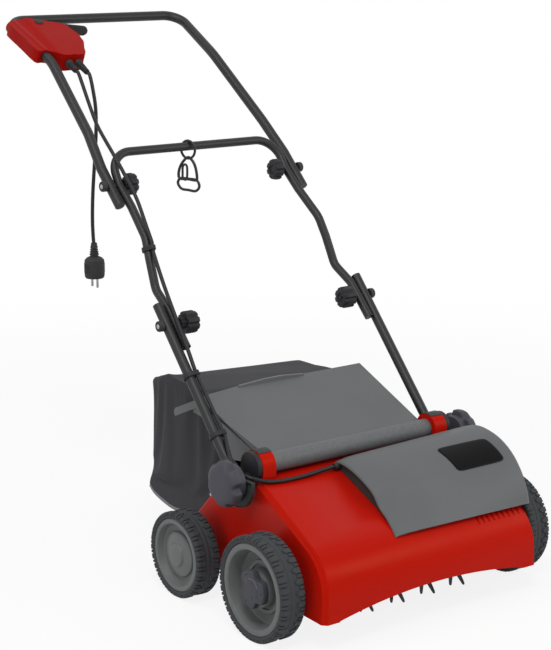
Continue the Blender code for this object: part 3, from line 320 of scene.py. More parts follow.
def skin_group() -> bpy.types.NodeTree:
    """The surface of moulded plastic, rubber or paint: fine grain, faint clouds and rubbed edges.

    Returns:
        The node group.
    """
    inputs = {
        "Vector": "vector",
        "Colour": WHITE,
        "Worn Colour": WHITE,
        "Grain Size": 900.0,
        "Grain": 1.0,
        "Clouds": 0.1,
        "Roughness": 0.5,
        "Spread": 0.1,
        "Wear": 0.1,
    }
    sketch, given, out = new_group(Surface.SKIN.value, inputs, COLOUR_OUT)
    fine = sketch.add("TexNoise", Vector=given["Vector"], Scale=given["Grain Size"], Detail=3.0)
    broad = sketch.add("TexNoise", Vector=given["Vector"], Scale=7.0, Detail=4.0, Roughness=0.6)
    cloud = sketch.ramp(broad.outputs[0], 0.32, 0.68, -1.0, 1.0)
    shade = sketch.math("ADD", 1.0, sketch.math("MULTIPLY", cloud, given["Clouds"]))
    shaded = sketch.scaled(given["Colour"], shade)
    edge = sketch.ramp(sketch.add("NewGeometry").outputs["Pointiness"], 0.52, 0.60)
    scuff = sketch.add("TexNoise", Vector=given["Vector"], Scale=160.0, Detail=5.0, Roughness=0.7)
    rubbed = sketch.math("MULTIPLY", edge, sketch.ramp(scuff.outputs[0], 0.40, 0.62))
    worn = sketch.math("MULTIPLY", rubbed, given["Wear"], clamp=True)
    sketch.feed(out["Colour"], sketch.blend(worn, shaded, given["Worn Colour"]))
    rough = sketch.math("ADD", given["Roughness"], sketch.math("MULTIPLY", cloud, given["Spread"]))
    duller = sketch.math("MULTIPLY", worn, 0.25)
    sketch.feed(out["Roughness"], sketch.math("ADD", rough, duller, clamp=True))
    sketch.feed(out["Height"], sketch.math("MULTIPLY", fine.outputs[0], given["Grain"]))
    return sketch.tree


def metal_group() -> bpy.types.NodeTree:
    """Plain steel with drawn lines across X, stains and dull patches.

    Returns:
        The node group.
    """
    inputs = {
        "Vector": "vector",
        "Colour": WHITE,
        "Stain": WHITE,
        "Stains": 0.3,
        "Roughness": 0.35,
        "Spread": 0.1,
    }
    sketch, given, out = new_group(Surface.METAL.value, inputs, COLOUR_OUT)
    drawn = sketch.add("Mapping", Vector=given["Vector"], Scale=(1400.0, 60.0, 60.0)).outputs[0]
    lines = sketch.add("TexNoise", Vector=drawn, Scale=1.0, Detail=3.0)
    broad = sketch.add("TexNoise", Vector=given["Vector"], Scale=45.0, Detail=6.0, Roughness=0.65)
    dull = sketch.ramp(broad.outputs[0], 0.48, 0.70)
    stained = sketch.math("MULTIPLY", dull, given["Stains"])
    sketch.feed(out["Colour"], sketch.blend(stained, given["Colour"], given["Stain"]))
    rough = sketch.math("ADD", given["Roughness"], sketch.math("MULTIPLY", dull, given["Spread"]))
    sketch.feed(out["Roughness"], rough)
    sketch.feed(out["Height"], lines.outputs[0])
    return sketch.tree


def weave_group() -> bpy.types.NodeTree:
    """Plain woven cloth with two thread directions and a slightly uneven dye.

    Returns:
        The node group.
    """
    inputs = {"Vector": "vector", "Colour": WHITE, "Thread": 4000.0, "Dye": 0.15, "Roughness": 0.85}
    sketch, given, out = new_group(Surface.CLOTH.value, inputs, COLOUR_OUT)
    bands = []
    for direction in ("X", "Y", "Z"):
        wave = sketch.add(
            "TexWave",
            {"wave_type": "BANDS", "bands_direction": direction, "wave_profile": "SIN"},
            Vector=given["Vector"],
            Scale=given["Thread"],
            Distortion=0.6,
            Detail=1.0,
        )
        bands.append(wave.outputs["Fac"])
    woven = sketch.math(
        "MAXIMUM",
        sketch.math("MULTIPLY", bands[0], bands[1]),
        sketch.math("MULTIPLY", bands[1], bands[2]),
    )
    woven = sketch.math("MAXIMUM", woven, sketch.math("MULTIPLY", bands[0], bands[2]))
    broad = sketch.add("TexNoise", Vector=given["Vector"], Scale=11.0, Detail=5.0, Roughness=0.6)
    dye = sketch.math(
        "MULTIPLY", sketch.ramp(broad.outputs[0], 0.35, 0.65, -1.0, 1.0), given["Dye"]
    )
    shade = sketch.math("ADD", sketch.math("ADD", 0.88, dye), sketch.math("MULTIPLY", woven, 0.24))
    shaded = sketch.scaled(given["Colour"], shade)
    sketch.feed(out["Colour"], shaded)
    smoother = sketch.math("MULTIPLY", woven, 0.12)
    sketch.feed(out["Roughness"], sketch.math("SUBTRACT", given["Roughness"], smoother))
    sketch.feed(out["Height"], woven)
    return sketch.tree


@dataclass(frozen=True)
class Finish:
    """One material of the machine."""

    name: str
    slot: str
    colour: tuple[int, int, int]
    roughness: float
    surface: Surface = Surface.SKIN
    metallic: float = 0.0
    grain_size: float = 900.0
    bump: float = 0.00004
    clouds: float = 0.05
    spread: float = 0.06
    wear: float = 0.15
    specular: float = 0.3
    tint: tuple[int, int, int] = (255, 255, 255)

    def made(self) -> bpy.types.Material:
        """Builds the material, or finds it where it has been built before.

        Returns:
            The material.
        """
        found = bpy.data.materials.get(self.name)
        if found:
            return found
        material = bpy.data.materials.new(self.name)
        material.use_nodes = True
        sketch = Sketch(material.node_tree)
        shader = material.node_tree.nodes["Principled BSDF"]
        place = sketch.add("TexCoord").outputs["Object"]
        group = sketch.add("Group", {"node_tree": self.group()}, Vector=place)
        for name, value in self.given().items():
            group.inputs[name].default_value = value
        bump = sketch.add("Bump", Height=group.outputs["Height"], Distance=self.bump, Strength=1.0)
        sketch.feed(shader.inputs["Base Color"], group.outputs["Colour"])
        sketch.feed(shader.inputs["Roughness"], group.outputs["Roughness"])
        sketch.feed(shader.inputs["Normal"], bump.outputs[0])
        shader.inputs["Metallic"].default_value = self.metallic
        shader.inputs["Specular IOR Level"].default_value = self.specular
        shader.inputs["Specular Tint"].default_value = rgba(self.tint)
        material.diffuse_color = rgba(self.colour)
        return material

    def group(self) -> bpy.types.NodeTree:
        """The node group of this surface, built once."""
        makers = {Surface.SKIN: skin_group, Surface.METAL: metal_group, Surface.CLOTH: weave_group}
        return bpy.data.node_groups.get(self.surface.value) or makers[self.surface]()

    def given(self) -> dict[str, object]:
        """The group's own values for this finish."""
        shared = {"Colour": rgba(self.colour), "Roughness": self.roughness}
        if self.surface is Surface.METAL:
            stain = rgba([channel * 0.55 for channel in self.colour])
            return {**shared, "Stain": stain, "Stains": 0.5, "Spread": self.spread}
        if self.surface is Surface.CLOTH:
            return {**shared, "Thread": self.grain_size, "Dye": self.clouds}
        return {
            **shared,
            "Worn Colour": rgba([min(255, channel * 1.35 + 22) for channel in self.colour]),
            "Grain Size": self.grain_size,
            "Grain": 1.0,
            "Clouds": self.clouds,
            "Spread": self.spread,
            "Wear": self.wear,
        }


GLOSS = {"bump": 0.00001, "grain_size": 300.0, "clouds": 0.02, "wear": 0.0, "tint": (255, 150, 90)}
RED = Finish("red_gloss", "red_plastic", (178, 20, 8), 0.34, specular=0.12, **GLOSS)
BOX_RED = Finish("red_handle", "red_plastic", (150, 14, 9), 0.36, specular=0.05, **GLOSS)
SATIN = {"bump": 0.00003, "specular": 0.2}
GREY = Finish("grey_satin", "grey_plastic", (96, 98, 99), 0.50, grain_size=1500.0, **SATIN)
DARK_GREY = Finish("grey_dark", "grey_plastic", (50, 56, 55), 0.55, grain_size=1500.0, **SATIN)
KNOB = Finish("knob_grey", "knob_plastic", (66, 66, 73), 0.5, grain_size=1400.0, **SATIN)
STAR = Finish("star_black", "black_plastic", (38, 38, 41), 0.48, grain_size=1400.0, **SATIN)
BLACK_PLASTIC = Finish(
    "black_plastic", "black_plastic", (28, 28, 31), 0.42, grain_size=1400.0, **SATIN
)
RIM_GREY = Finish("rim_grey", "rim_plastic", (98, 100, 100), 0.45, bump=0.00003, grain_size=1200.0)
LABEL = Finish(
    "label_black", "black_plastic", (10, 10, 11), 0.30,
    bump=0.00001, clouds=0.02, wear=0.0, specular=0.1,
)
PAINT = Finish(
    "black_paint", "black_paint", (19, 20, 23), 0.14, metallic=1.0,
    bump=0.0, grain_size=260.0, spread=0.01, wear=0.0, tint=(45, 45, 48),
)
TYRE = Finish(
    "tyre_rubber", "tyre_rubber", (41, 43, 47), 0.62,
    bump=0.00005, clouds=0.12, wear=0.3, specular=0.2,
)
CORD = Finish("cord_sheath", "cord_rubber", (24, 24, 27), 0.45, bump=0.00002, clouds=0.06)
WOVEN = {"surface": Surface.CLOTH, "grain_size": 520.0, "bump": 0.0001}
CLOTH = Finish("bag_cloth", "bag_cloth", (34, 35, 38), 0.88, clouds=0.08, specular=0.1, **WOVEN)
PIPING = Finish("bag_piping", "bag_cloth", (120, 120, 124), 0.7, clouds=0.06, **WOVEN)
STEEL = Finish(
    "plain_steel", "steel", (168, 168, 170), 0.30, Surface.METAL,
    metallic=1.0, bump=0.00001, spread=0.2,
)
KNIFE = Finish(
    "knife_steel", "steel", (58, 60, 64), 0.42, Surface.METAL,
    metallic=0.9, bump=0.00002, spread=0.25,
)
BELT = Finish("belt_rubber", "belt_rubber", (30, 30, 32), 0.7)


def kept(share: float) -> float:
    """The share, kept from 0 to 1."""
    return min(max(share, 0.0), 1.0)


def eased(share: float) -> float:
    """The share with a soft start and end."""
    return share * share * (3 - 2 * share)


def arc(
    centre: Point, radius: float, start: float, end: float, count: int
) -> list[tuple[float, float]]:
    """Points along an arc in a plane.

    Args:
        centre: The arc's centre.
        radius: Its radius.
        start: First angle in degrees.
        end: Last angle in degrees.
        count: Number of steps.

    Returns:
        count + 1 points.
    """
    turns = [math.radians(start + (end - start) * i / count) for i in range(count + 1)]
    return [(centre[0] + radius * math.cos(t), centre[1] + radius * math.sin(t)) for t in turns]


def filleted(
    points: Sequence[Point], closed: bool = False, step: float = 6.0
) -> list[tuple[float, ...]]:
    """A path of corners with its corners rounded.

    Args:
        points: Each corner's place, followed by its radius.
        closed: Whether the path is a loop.
        step: Degrees of bend from point to point.

    Returns:
        The points of the rounded path.
    """
    path = [Vector(point[:-1]) for point in points]
    out: list[tuple[float, ...]] = []
    for i, corner in enumerate(path):
        radius = points[i][-1]
        if radius == 0 or not (closed or 0 < i < len(path) - 1):
            out.append(tuple(corner))
            continue
        back = (path[i - 1] - corner).normalized()
        ahead = (path[(i + 1) % len(path)] - corner).normalized()
        half = back.angle(ahead) / 2
        centre = corner + (back + ahead).normalized() * (radius / math.sin(half))
        start = corner + back * (radius / math.tan(half)) - centre
        end = corner + ahead * (radius / math.tan(half)) - centre
        sweep = start.angle(end)
        pieces = max(2, round(math.degrees(sweep) / step))
        for piece in range(pieces + 1):
            t = piece / pieces
            a = math.sin(sweep * (1 - t)) / math.sin(sweep)
            b = math.sin(sweep * t) / math.sin(sweep)
            out.append(tuple(centre + start * a + end * b))
    return out


def smooth(
    points: Sequence[Point], steps: int = 4, closed: bool = False
) -> list[tuple[float, ...]]:
    """Points along a smooth curve through the given ones.

    Args:
        points: What the curve passes through.
        steps: Steps from each point to the next.
        closed: Whether the curve is a loop.

    Returns:
        The curve's points.
    """
    known = [Vector(point) for point in points]
    count = len(known)
    out: list[tuple[float, ...]] = []
    for i in range(count if closed else count - 1):
        p1, p2 = known[i], known[(i + 1) % count]
        p0 = known[i - 1] if closed or i else 2 * p1 - p2
        p3 = known[(i + 2) % count] if closed or i < count - 2 else 2 * p2 - p1
        for step in range(steps):
            t = step / steps
            square = (2 * p0 - 5 * p1 + 4 * p2 - p3) * t**2
            cube = (p3 + 3 * p1 - p0 - 3 * p2) * t**3
            out.append(tuple(0.5 * (2 * p1 + (p2 - p0) * t + square + cube)))
    if not closed:
        out.append(tuple(known[-1]))
    return out


def resampled(points: Sequence[Point], count: int) -> list[Vector]:
    """The same line with points at even distances.

    Args:
        points: The line.
        count: How many points the result has.

    Returns:
        The points.
    """
    known = [Vector(point) for point in points]
    marks = [0.0]
    for a, b in pairwise(known):
        marks.append(marks[-1] + (b - a).length)
    out = []
    for i in range(count):
        mark = marks[-1] * i / (count - 1)
        k = max(j for j in range(len(known) - 1) if marks[j] <= mark + 1e-12)
        out.append(known[k].lerp(known[k + 1], (mark - marks[k]) / (marks[k + 1] - marks[k])))
    return out


def deselect() -> None:
    """Deselects every object, because the operators act on all that is selected."""
    bpy.ops.object.select_all(action="DESELECT")


def only(obj: bpy.types.Object) -> bpy.types.Object:
    """Makes one object the selected and active one.

    Args:
        obj: The object.

    Returns:
        The same object.
    """
    deselect()
    obj.select_set(True)
    bpy.context.view_layer.objects.active = obj
    return obj


def edit(kind: str = "FACE") -> None:
    """Enters edit mode on the active object with nothing selected.

    Args:
        kind: What is selected by: VERT, EDGE or FACE.
    """
    bpy.ops.object.mode_set(mode="EDIT")
    bpy.ops.mesh.select_mode(type=kind)
    bpy.ops.mesh.select_all(action="DESELECT")


def edit_all() -> None:
    """Enters edit mode on the active object with everything selected."""
    bpy.ops.object.mode_set(mode="EDIT")
    bpy.ops.mesh.select_all(action="SELECT")


def leave() -> None:
    """Goes back to object mode."""
    bpy.ops.object.mode_set(mode="OBJECT")


def pick(obj: bpy.types.Object, test: FaceTest) -> int:
    """Selects faces by their middle and normal, in edit mode.

    Args:
        obj: The object in edit mode.
        test: Says of a face's middle and normal whether it is wanted.

    Returns:
        How many faces are selected.
    """
    bpy.ops.mesh.select_mode(type="FACE")
    bpy.ops.mesh.select_all(action="DESELECT")
    work = bmesh.from_edit_mesh(obj.data)
    count = 0
    for face in work.faces:
        wanted = test(face.calc_center_median(), face.normal)
        face.select_set(wanted)
        count += wanted
    bmesh.update_edit_mesh(obj.data)
    return count


def tidied(obj: bpy.types.Object, merge: float = 1e-5) -> bpy.types.Object:
    """Merges doubled points and turns the faces outwards.

    Args:
        obj: A closed mesh.
        merge: Points nearer than this become one.

    Returns:
        The same object.
    """
    only(obj)
    edit_all()
    bpy.ops.mesh.remove_doubles(threshold=merge)
    bpy.ops.mesh.normals_make_consistent(inside=False)
    leave()
    return obj


def chain(name: str, points: Sequence[Point], closed: bool = False) -> bpy.types.Object:
    """A line of edges, extruded point by point from one vertex.

    Args:
        name: The object's name.
        points: Places of its points.
        closed: Whether the last point is joined to the first.

    Returns:
        The new object, with nothing but points and edges.
    """
    deselect()
    bpy.ops.mesh.primitive_plane_add(size=0.001)
    obj = bpy.context.active_object
    obj.name = name
    bpy.ops.object.mode_set(mode="EDIT")
    bpy.ops.mesh.select_mode(type="VERT")
    bpy.ops.mesh.select_all(action="SELECT")
    bpy.ops.mesh.merge(type="CENTER")
    bpy.ops.transform.translate(value=(*points[0],) if len(points[0]) == 3 else (*points[0], 0.0))
    for a, b in pairwise([Vector(p).to_3d() for p in points]):
        bpy.ops.mesh.extrude_region_move(TRANSFORM_OT_translate={"value": b - a})
    if closed:
        work = bmesh.from_edit_mesh(obj.data)
        work.verts.ensure_lookup_table()
        work.verts[0].select_set(True)
        bmesh.update_edit_mesh(obj.data)
        bpy.ops.mesh.edge_face_add()
    leave()
    return obj


def plate(
    name: str, outline: Sequence[Point], low: float, high: float, turn: Matrix = ALONG_X
) -> bpy.types.Object:
    """A flat outline filled and extruded.

    Args:
        name: The object's name.
        outline: Its corners in a plane.
        low: Where it starts, along the plane's normal.
        high: Where it ends.
        turn: Places the plane's axes in the machine.

    Returns:
        The new object.
    """
    obj = chain(name, [(*p[:2], low) for p in outline], closed=True)
    edit("VERT")
    bpy.ops.mesh.select_all(action="SELECT")
    bpy.ops.mesh.edge_face_add()
    bpy.ops.mesh.extrude_region_move(TRANSFORM_OT_translate={"value": (0, 0, high - low)})
    leave()
    obj.data.transform(turn)
    return tidied(obj)


def spun(
    name: str, profile: Sequence[Point], centre: Point, steps: int = 64, closed: bool = False
) -> bpy.types.Object:
    """A profile spun about an axis along X.

    Args:
        name: The object's name.
        profile: Radius and place along X of each point.
        centre: The axis's y and z.
        steps: Steps round.
        closed: Whether the profile is a loop.

    Returns:
        The new object.
    """
    points = [(x, centre[0] + r, centre[1]) for r, x in profile]
    obj = chain(name, points, closed)
    edit("VERT")
    bpy.ops.mesh.select_all(action="SELECT")
    bpy.ops.mesh.spin(steps=steps, angle=2 * math.pi, center=(0.0, *centre), axis=(1, 0, 0))
    leave()
    return tidied(obj)


def rod(x0: float, x1: float, radius: float, centre: Point, steps: int = 48) -> bpy.types.Object:
    """A rod along X.

    Args:
        x0: Where it starts.
        x1: Where it ends.
        radius: Its radius.
        centre: Its axis's y and z.
        steps: Steps round.

    Returns:
        The rod.
    """
    return spun("rod", [(0, x0), (radius, x0), (radius, x1), (0, x1)], centre, steps)


def block(low: Point, high: Point) -> bpy.types.Object:
    """A box between two corners.

    Args:
        low: Its lowest x, y and z.
        high: Its highest.

    Returns:
        The box.
    """
    corners = [(low[1], low[2]), (high[1], low[2]), (high[1], high[2]), (low[1], high[2])]
    return plate("block", corners, low[0], high[0])


def stacked(
    name: str, ring: Sequence[Point], levels: Sequence[tuple[float, float]], turn: Matrix
) -> bpy.types.Object:
    """A closed ring extruded level by level, with a scale at each level.

    Args:
        name: The object's name.
        ring: Points in a plane round its origin.
        levels: Height and scale of each level.
        turn: Places the plane's axes in the machine.

    Returns:
        The new object.
    """
    height, scale = levels[0]
    obj = chain(name, [(p[0] * scale, p[1] * scale, height) for p in ring], closed=True)
    edit("VERT")
    bpy.ops.mesh.select_all(action="SELECT")
    bpy.ops.mesh.edge_face_add()
    bpy.ops.mesh.select_mode(type="FACE")
    for (low, before), (high, after) in pairwise(levels):
        bpy.ops.mesh.extrude_region_move(TRANSFORM_OT_translate={"value": (0, 0, high - low)})
        share = after / before
        bpy.ops.transform.resize(value=(share, share, 1), center_override=(0, 0, high))
    leave()
    obj.data.transform(turn)
    return tidied(obj)


def tube(
    name: str, points: Sequence[Point], radius: float, closed: bool = False, resolution: int = 6
) -> bpy.types.Object:
    """A round tube along a line.

    Args:
        name: The object's name.
        points: The line.
        radius: The tube's radius.
        closed: Whether the line is a loop.
        resolution: How finely round it is.

    Returns:
        The tube, as a mesh.
    """
    obj = only(chain(name, points, closed))
    bpy.ops.object.convert(target="CURVE")
    obj = bpy.context.active_object
    obj.data.bevel_depth = radius
    obj.data.bevel_resolution = resolution
    obj.data.use_fill_caps = True
    bpy.ops.object.convert(target="MESH")
    return tidied(bpy.context.active_object)


def applied(obj: bpy.types.Object, kind: str, **settings: object) -> bpy.types.Object:
    """Adds a modifier and applies it.

    Args:
        obj: The object.
        kind: The modifier's type.
        **settings: The modifier's properties.

    Returns:
        The same object.
    """
    only(obj)
    modifier = obj.modifiers.new(kind.title(), kind)
    for name, value in settings.items():
        setattr(modifier, name, value)
    bpy.ops.object.modifier_apply(modifier=modifier.name)
    return obj


def bevelled(
    obj: bpy.types.Object, width: float, segments: int = 2, angle: float = 35.0
) -> bpy.types.Object:
    """Rounds the sharp edges with an applied Bevel.

    Args:
        obj: The object.
        width: The bevel's width.
        segments: Its segments.
        angle: Edges sharper than this, in degrees, are rounded.

    Returns:
        The same object.
    """
    limit = math.radians(angle)
    return applied(
        obj, "BEVEL", width=width, segments=segments, limit_method="ANGLE", angle_limit=limit
    )


def thickened(obj: bpy.types.Object, thickness: float, offset: float = -1.0) -> bpy.types.Object:
    """Gives an open skin its thickness with an applied Solidify.

    Args:
        obj: The skin.
        thickness: Its thickness.
        offset: -1 grows it inwards, 0 both ways.

    Returns:
        The same object.
    """
    return applied(obj, "SOLIDIFY", thickness=thickness, offset=offset)


def combined(
    target: bpy.types.Object, other: bpy.types.Object, operation: str = "DIFFERENCE"
) -> bpy.types.Object:
    """An applied Boolean, after which the second object is gone.

    Args:
        target: What is cut or added to.
        other: The second solid.
        operation: UNION or DIFFERENCE.

    Returns:
        The first object.
    """
    applied(target, "BOOLEAN", operation=operation, solver="EXACT", object=other)
    bpy.data.objects.remove(other, do_unlink=True)
    return target


def joined(name: str, pieces: Sequence[bpy.types.Object]) -> bpy.types.Object:
    """Several objects as one.

    Args:
        name: The new object's name.
        pieces: The objects.

    Returns:
        The joined object.
    """
    only(pieces[0])
    for piece in pieces[1:]:
        piece.select_set(True)
    bpy.ops.object.join()
    obj = bpy.context.active_object
    obj.name = name
    return obj


def copied(obj: bpy.types.Object, name: str, move: Matrix) -> bpy.types.Object:
    """A copy with its own mesh, moved into its place.

    Args:
        obj: What is copied.
        name: The copy's name.
        move: Where the copy goes, from the original's place.

    Returns:
        The copy.
    """
    only(obj)
    bpy.ops.object.duplicate(linked=False)
    copy = bpy.context.active_object
    copy.name = name
    copy.data.transform(move)
    if move.determinant() < 0:
        tidied(copy)
    return copy


def around(centre: Point, degrees: float) -> Matrix:
    """A turn about an axis along X.

    Args:
        centre: The axis's y and z.
        degrees: The angle.

    Returns:
        The turn's matrix.
    """
    place = Matrix.Translation((0, *centre))
    return place @ Matrix.Rotation(math.radians(degrees), 4, "X") @ place.inverted()


def node_copy(node: str, name: str, merge: float = 2e-5) -> bpy.types.Object:
    """A copy of a CAD node in machine coordinates, its triangles merged into plain faces.

    Args:
        node: The CAD node's name.
        name: The copy's name.
        merge: Points nearer than this become one.

    Returns:
        The copy.
    """
    source = FRAME["nodes"][node]
    obj = bpy.data.objects.new(name, source.data.copy())
    bpy.context.scene.collection.objects.link(obj)
    obj.data.transform(Matrix.Translation((0, SHIFT, 0)))
    only(obj)
    edit_all()
    bpy.ops.mesh.remove_doubles(threshold=merge)
    bpy.ops.mesh.dissolve_limited(angle_limit=math.radians(1.0))
    leave()
    return obj


def finished(
    obj: bpy.types.Object,
    finish: Finish,
    body: str | None,
    replaces: str | Sequence[str] = (),
    crease: float = 35.0,
    weighted: bool = False,
) -> bpy.types.Object:
    """Gives a piece its finish, its place in the frame and its body.

    Args:
        obj: The piece, in machine coordinates.
        finish: Its material.
        body: The CAD body that it rides on, or None for a piece that bends between two.
        replaces: The CAD nodes that it stands for.
        crease: Edges sharper than this, in degrees, stay hard.
        weighted: Whether the normals follow the larger faces.

    Returns:
        The piece.
    """
    only(obj)
    bpy.ops.object.transform_apply(location=True, rotation=True, scale=True)
    obj.data.transform(Matrix.Translation((0, -SHIFT, 0)))
    obj.data.materials.clear()
    obj.data.materials.append(finish.made())
    bpy.ops.object.shade_smooth_by_angle(angle=math.radians(crease))
    if weighted:
        applied(obj, "WEIGHTED_NORMAL", keep_sharp=True)
    if body:
        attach(obj, body)
    nodes = [replaces] if isinstance(replaces, str) else list(replaces)
    if nodes:
        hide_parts(*nodes)
    log.info("%s rides on %s, %d faces", obj.name, body, len(obj.data.polygons))
    return obj


def dressed(node: str, finish: Finish) -> None:
    """Gives a CAD node that stays visible its finish.

    Args:
        node: The node's name.
        finish: Its material.
    """
    obj = FRAME["nodes"][node]
    obj.data.materials.clear()
    obj.data.materials.append(finish.made())


FRAME: dict = {}


@dataclass
class Studio:
    """Camera, floor, world and lamps."""

    eye: tuple[float, float, float] = (-1.8517, -2.55855, 1.1255)
    yaw: float = -36.83
    pitch: float = 12.77
    lens: float = 97.48
    floor_size: float = 60.0
    floor_glow: float = 0.86
    world_strength: float = 0.46

    def build(self) -> None:
        """Makes the whole studio."""
        self.camera()
        self.world()
        self.floor()
        self.lamps()
        bpy.context.scene.view_settings.view_transform = "Standard"

    def camera(self) -> None:
        """Places the camera as the photograph was taken."""
        data = bpy.data.cameras.new("camera")
        data.lens = self.lens
        data.sensor_width = 36.0
        data.clip_end = 100.0
        camera = bpy.data.objects.new("camera", data)
        camera.location = self.eye
        camera.rotation_euler = Euler((math.radians(90 - self.pitch), 0, math.radians(self.yaw)))
        bpy.context.scene.collection.objects.link(camera)
        bpy.context.scene.camera = camera

    def world(self) -> None:
        """White where the camera and reflections see it, and a plain soft light elsewhere."""
        world = bpy.data.worlds.new("studio")
        world.use_nodes = True
        bpy.context.scene.world = world
        sketch = Sketch(world.node_tree)
        background = world.node_tree.nodes["Background"]
        background.inputs["Color"].default_value = (1, 1, 1, 1)
        sketch.feed(
            background.inputs["Strength"],
            sketch.ramp(self.seen(sketch), 0.0, 1.0, self.world_strength, 1.0),
        )

    def seen(self, sketch: Sketch) -> bpy.types.NodeSocket:
        """1 for rays from the camera, for reflections and for light through clear pieces.

        Args:
            sketch: Where the nodes go.

        Returns:
            The mask's socket.
        """
        path = sketch.add("LightPath").outputs
        mirrored = sketch.math("MAXIMUM", path["Is Glossy Ray"], path["Is Transmission Ray"])
        return sketch.math("MAXIMUM", path["Is Camera Ray"], mirrored, clamp=True)

    def floor(self) -> None:
        """A wide pale floor that keeps the machine's shadow and is white further away."""
        deselect()
        bpy.ops.mesh.primitive_plane_add(size=self.floor_size)
        floor = bpy.context.active_object
        floor.name = "floor"
        material = bpy.data.materials.new("floor")
        material.use_nodes = True
        sketch = Sketch(material.node_tree)
        shader = material.node_tree.nodes["Principled BSDF"]
        shader.inputs["Base Color"].default_value = (0.88, 0.88, 0.88, 1)
        shader.inputs["Roughness"].default_value = 0.9
        shader.inputs["Specular IOR Level"].default_value = 0.1
        distance = sketch.add(
            "VectorMath", {"operation": "LENGTH"}, in0=sketch.add("TexCoord").outputs["Object"]
        )
        share = sketch.ramp(distance.outputs["Value"], 0.7, 2.5, self.floor_glow, 1.0)
        glow = sketch.add("Emission", Strength=1.0)
        factor = sketch.math("MULTIPLY", self.seen(sketch), share)
        mixed = sketch.add("MixShader", in0=factor, in1=shader.outputs[0], in2=glow.outputs[0])
        sketch.feed(material.node_tree.nodes["Material Output"].inputs["Surface"], mixed.outputs[0])
        floor.data.materials.append(material)

    def lamps(self) -> None:
        """Soft boxes above the left front and low at the right front, a strip and a weak fill."""
        for name, place, target, size, power in (
            ("key", (-1.6, -2.2, 3.4), (0, 0, 0.3), (1.0, 0.8), 46.0),
            ("front", (1.9, -2.3, 1.6), (0, -0.3, 0.2), (1.6, 0.8), 20.0),
            ("strip", (-1.1, -0.2, 2.9), (-1.1, -0.2, 0), (0.08, 2.5), 20.0),
            ("fill", (-3.2, 0.2, 1.6), (0, 0, 0.35), (1.4, 1.8), 9.0),
        ):
            data = bpy.data.lights.new(name, "AREA")
            data.shape = "RECTANGLE"
            data.size, data.size_y = size
            data.energy = power
            lamp = bpy.data.objects.new(name, data)
            lamp.location = place
            aim = Vector(target) - Vector(place)
            lamp.rotation_euler = aim.to_track_quat("-Z", "Y").to_euler()
            bpy.context.scene.collection.objects.link(lamp)


BAR_ALONG = Vector((0, 0.2045, 0.2295)).normalized()
BAR_FRONT = Vector((0, -BAR_ALONG.z, BAR_ALONG.y))
LEG_ALONG = Vector((0.0040, 0.018, 0.036)).normalized()
EYE_MIDDLE = Vector((-0.2222, 0.155, 0.3747)) + Vector((0.0100, 0, 0)) + BAR_FRONT * 0.0088
EYE_LOWER = Vector((-0.2222, 0.077, 0.2872)) + Vector((0.0100, 0, 0)) + BAR_FRONT * 0.0088


def leg_eye() -> Vector:
    """Middle of the eye on the leg's clip, square to the leg."""
    reach = Vector((0.003, -0.0111, 0.0056))
    reach -= LEG_ALONG * reach.dot(LEG_ALONG)
    return Vector((-0.1967, 0.3200, 0.5680)) + reach


def through(eye: Vector, along: Vector, places: Sequence[float]) -> list[tuple[float, ...]]:
    """Points on the axis of a clip's eye.

    Args:
        eye: Its middle.
        along: Its axis.
        places: Places along the axis.

    Returns:
        The points.
    """
    return [tuple(eye + along * place) for place in places]


def below_grip(x: float, down: float, out: float = 0.0) -> tuple[float, ...]:
    """A point given in the handle's plane.

    Args:
        x: Place across the machine.
        down: Distance down the slope from the grip.
        out: Distance from the plane.

    Returns:
        The point in machine coordinates.
    """
    return tuple(HANDLE_PLANE @ Vector((x, -down, out)))


@dataclass
class Stretch:
    """One stretch of lead between two places that hold it."""

    name: str
    route: list[tuple[float, ...]]
    bodies: tuple[str, str]
    bend: tuple[tuple[float, float], tuple[float, float]]
    far_end: str = "object"
    steps: int = 5

    def build(self, pieces: Sequence[bpy.types.Object] = ()) -> bpy.types.Object:
        """Makes the stretch and puts it on its body, or on no body when its two ends ride on two.

        Args:
            pieces: What hangs on its end. Not used.

        Returns:
            The stretch.
        """
        path = smooth(self.route, self.steps)
        lead = tube(f"{self.name}_sheath", path, LEAD_RADIUS, resolution=5)
        first, second = self.bodies
        finished(lead, CORD, first if first == second else None, self.name, crease=60)
        if first != second:
            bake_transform(lead)
        return lead


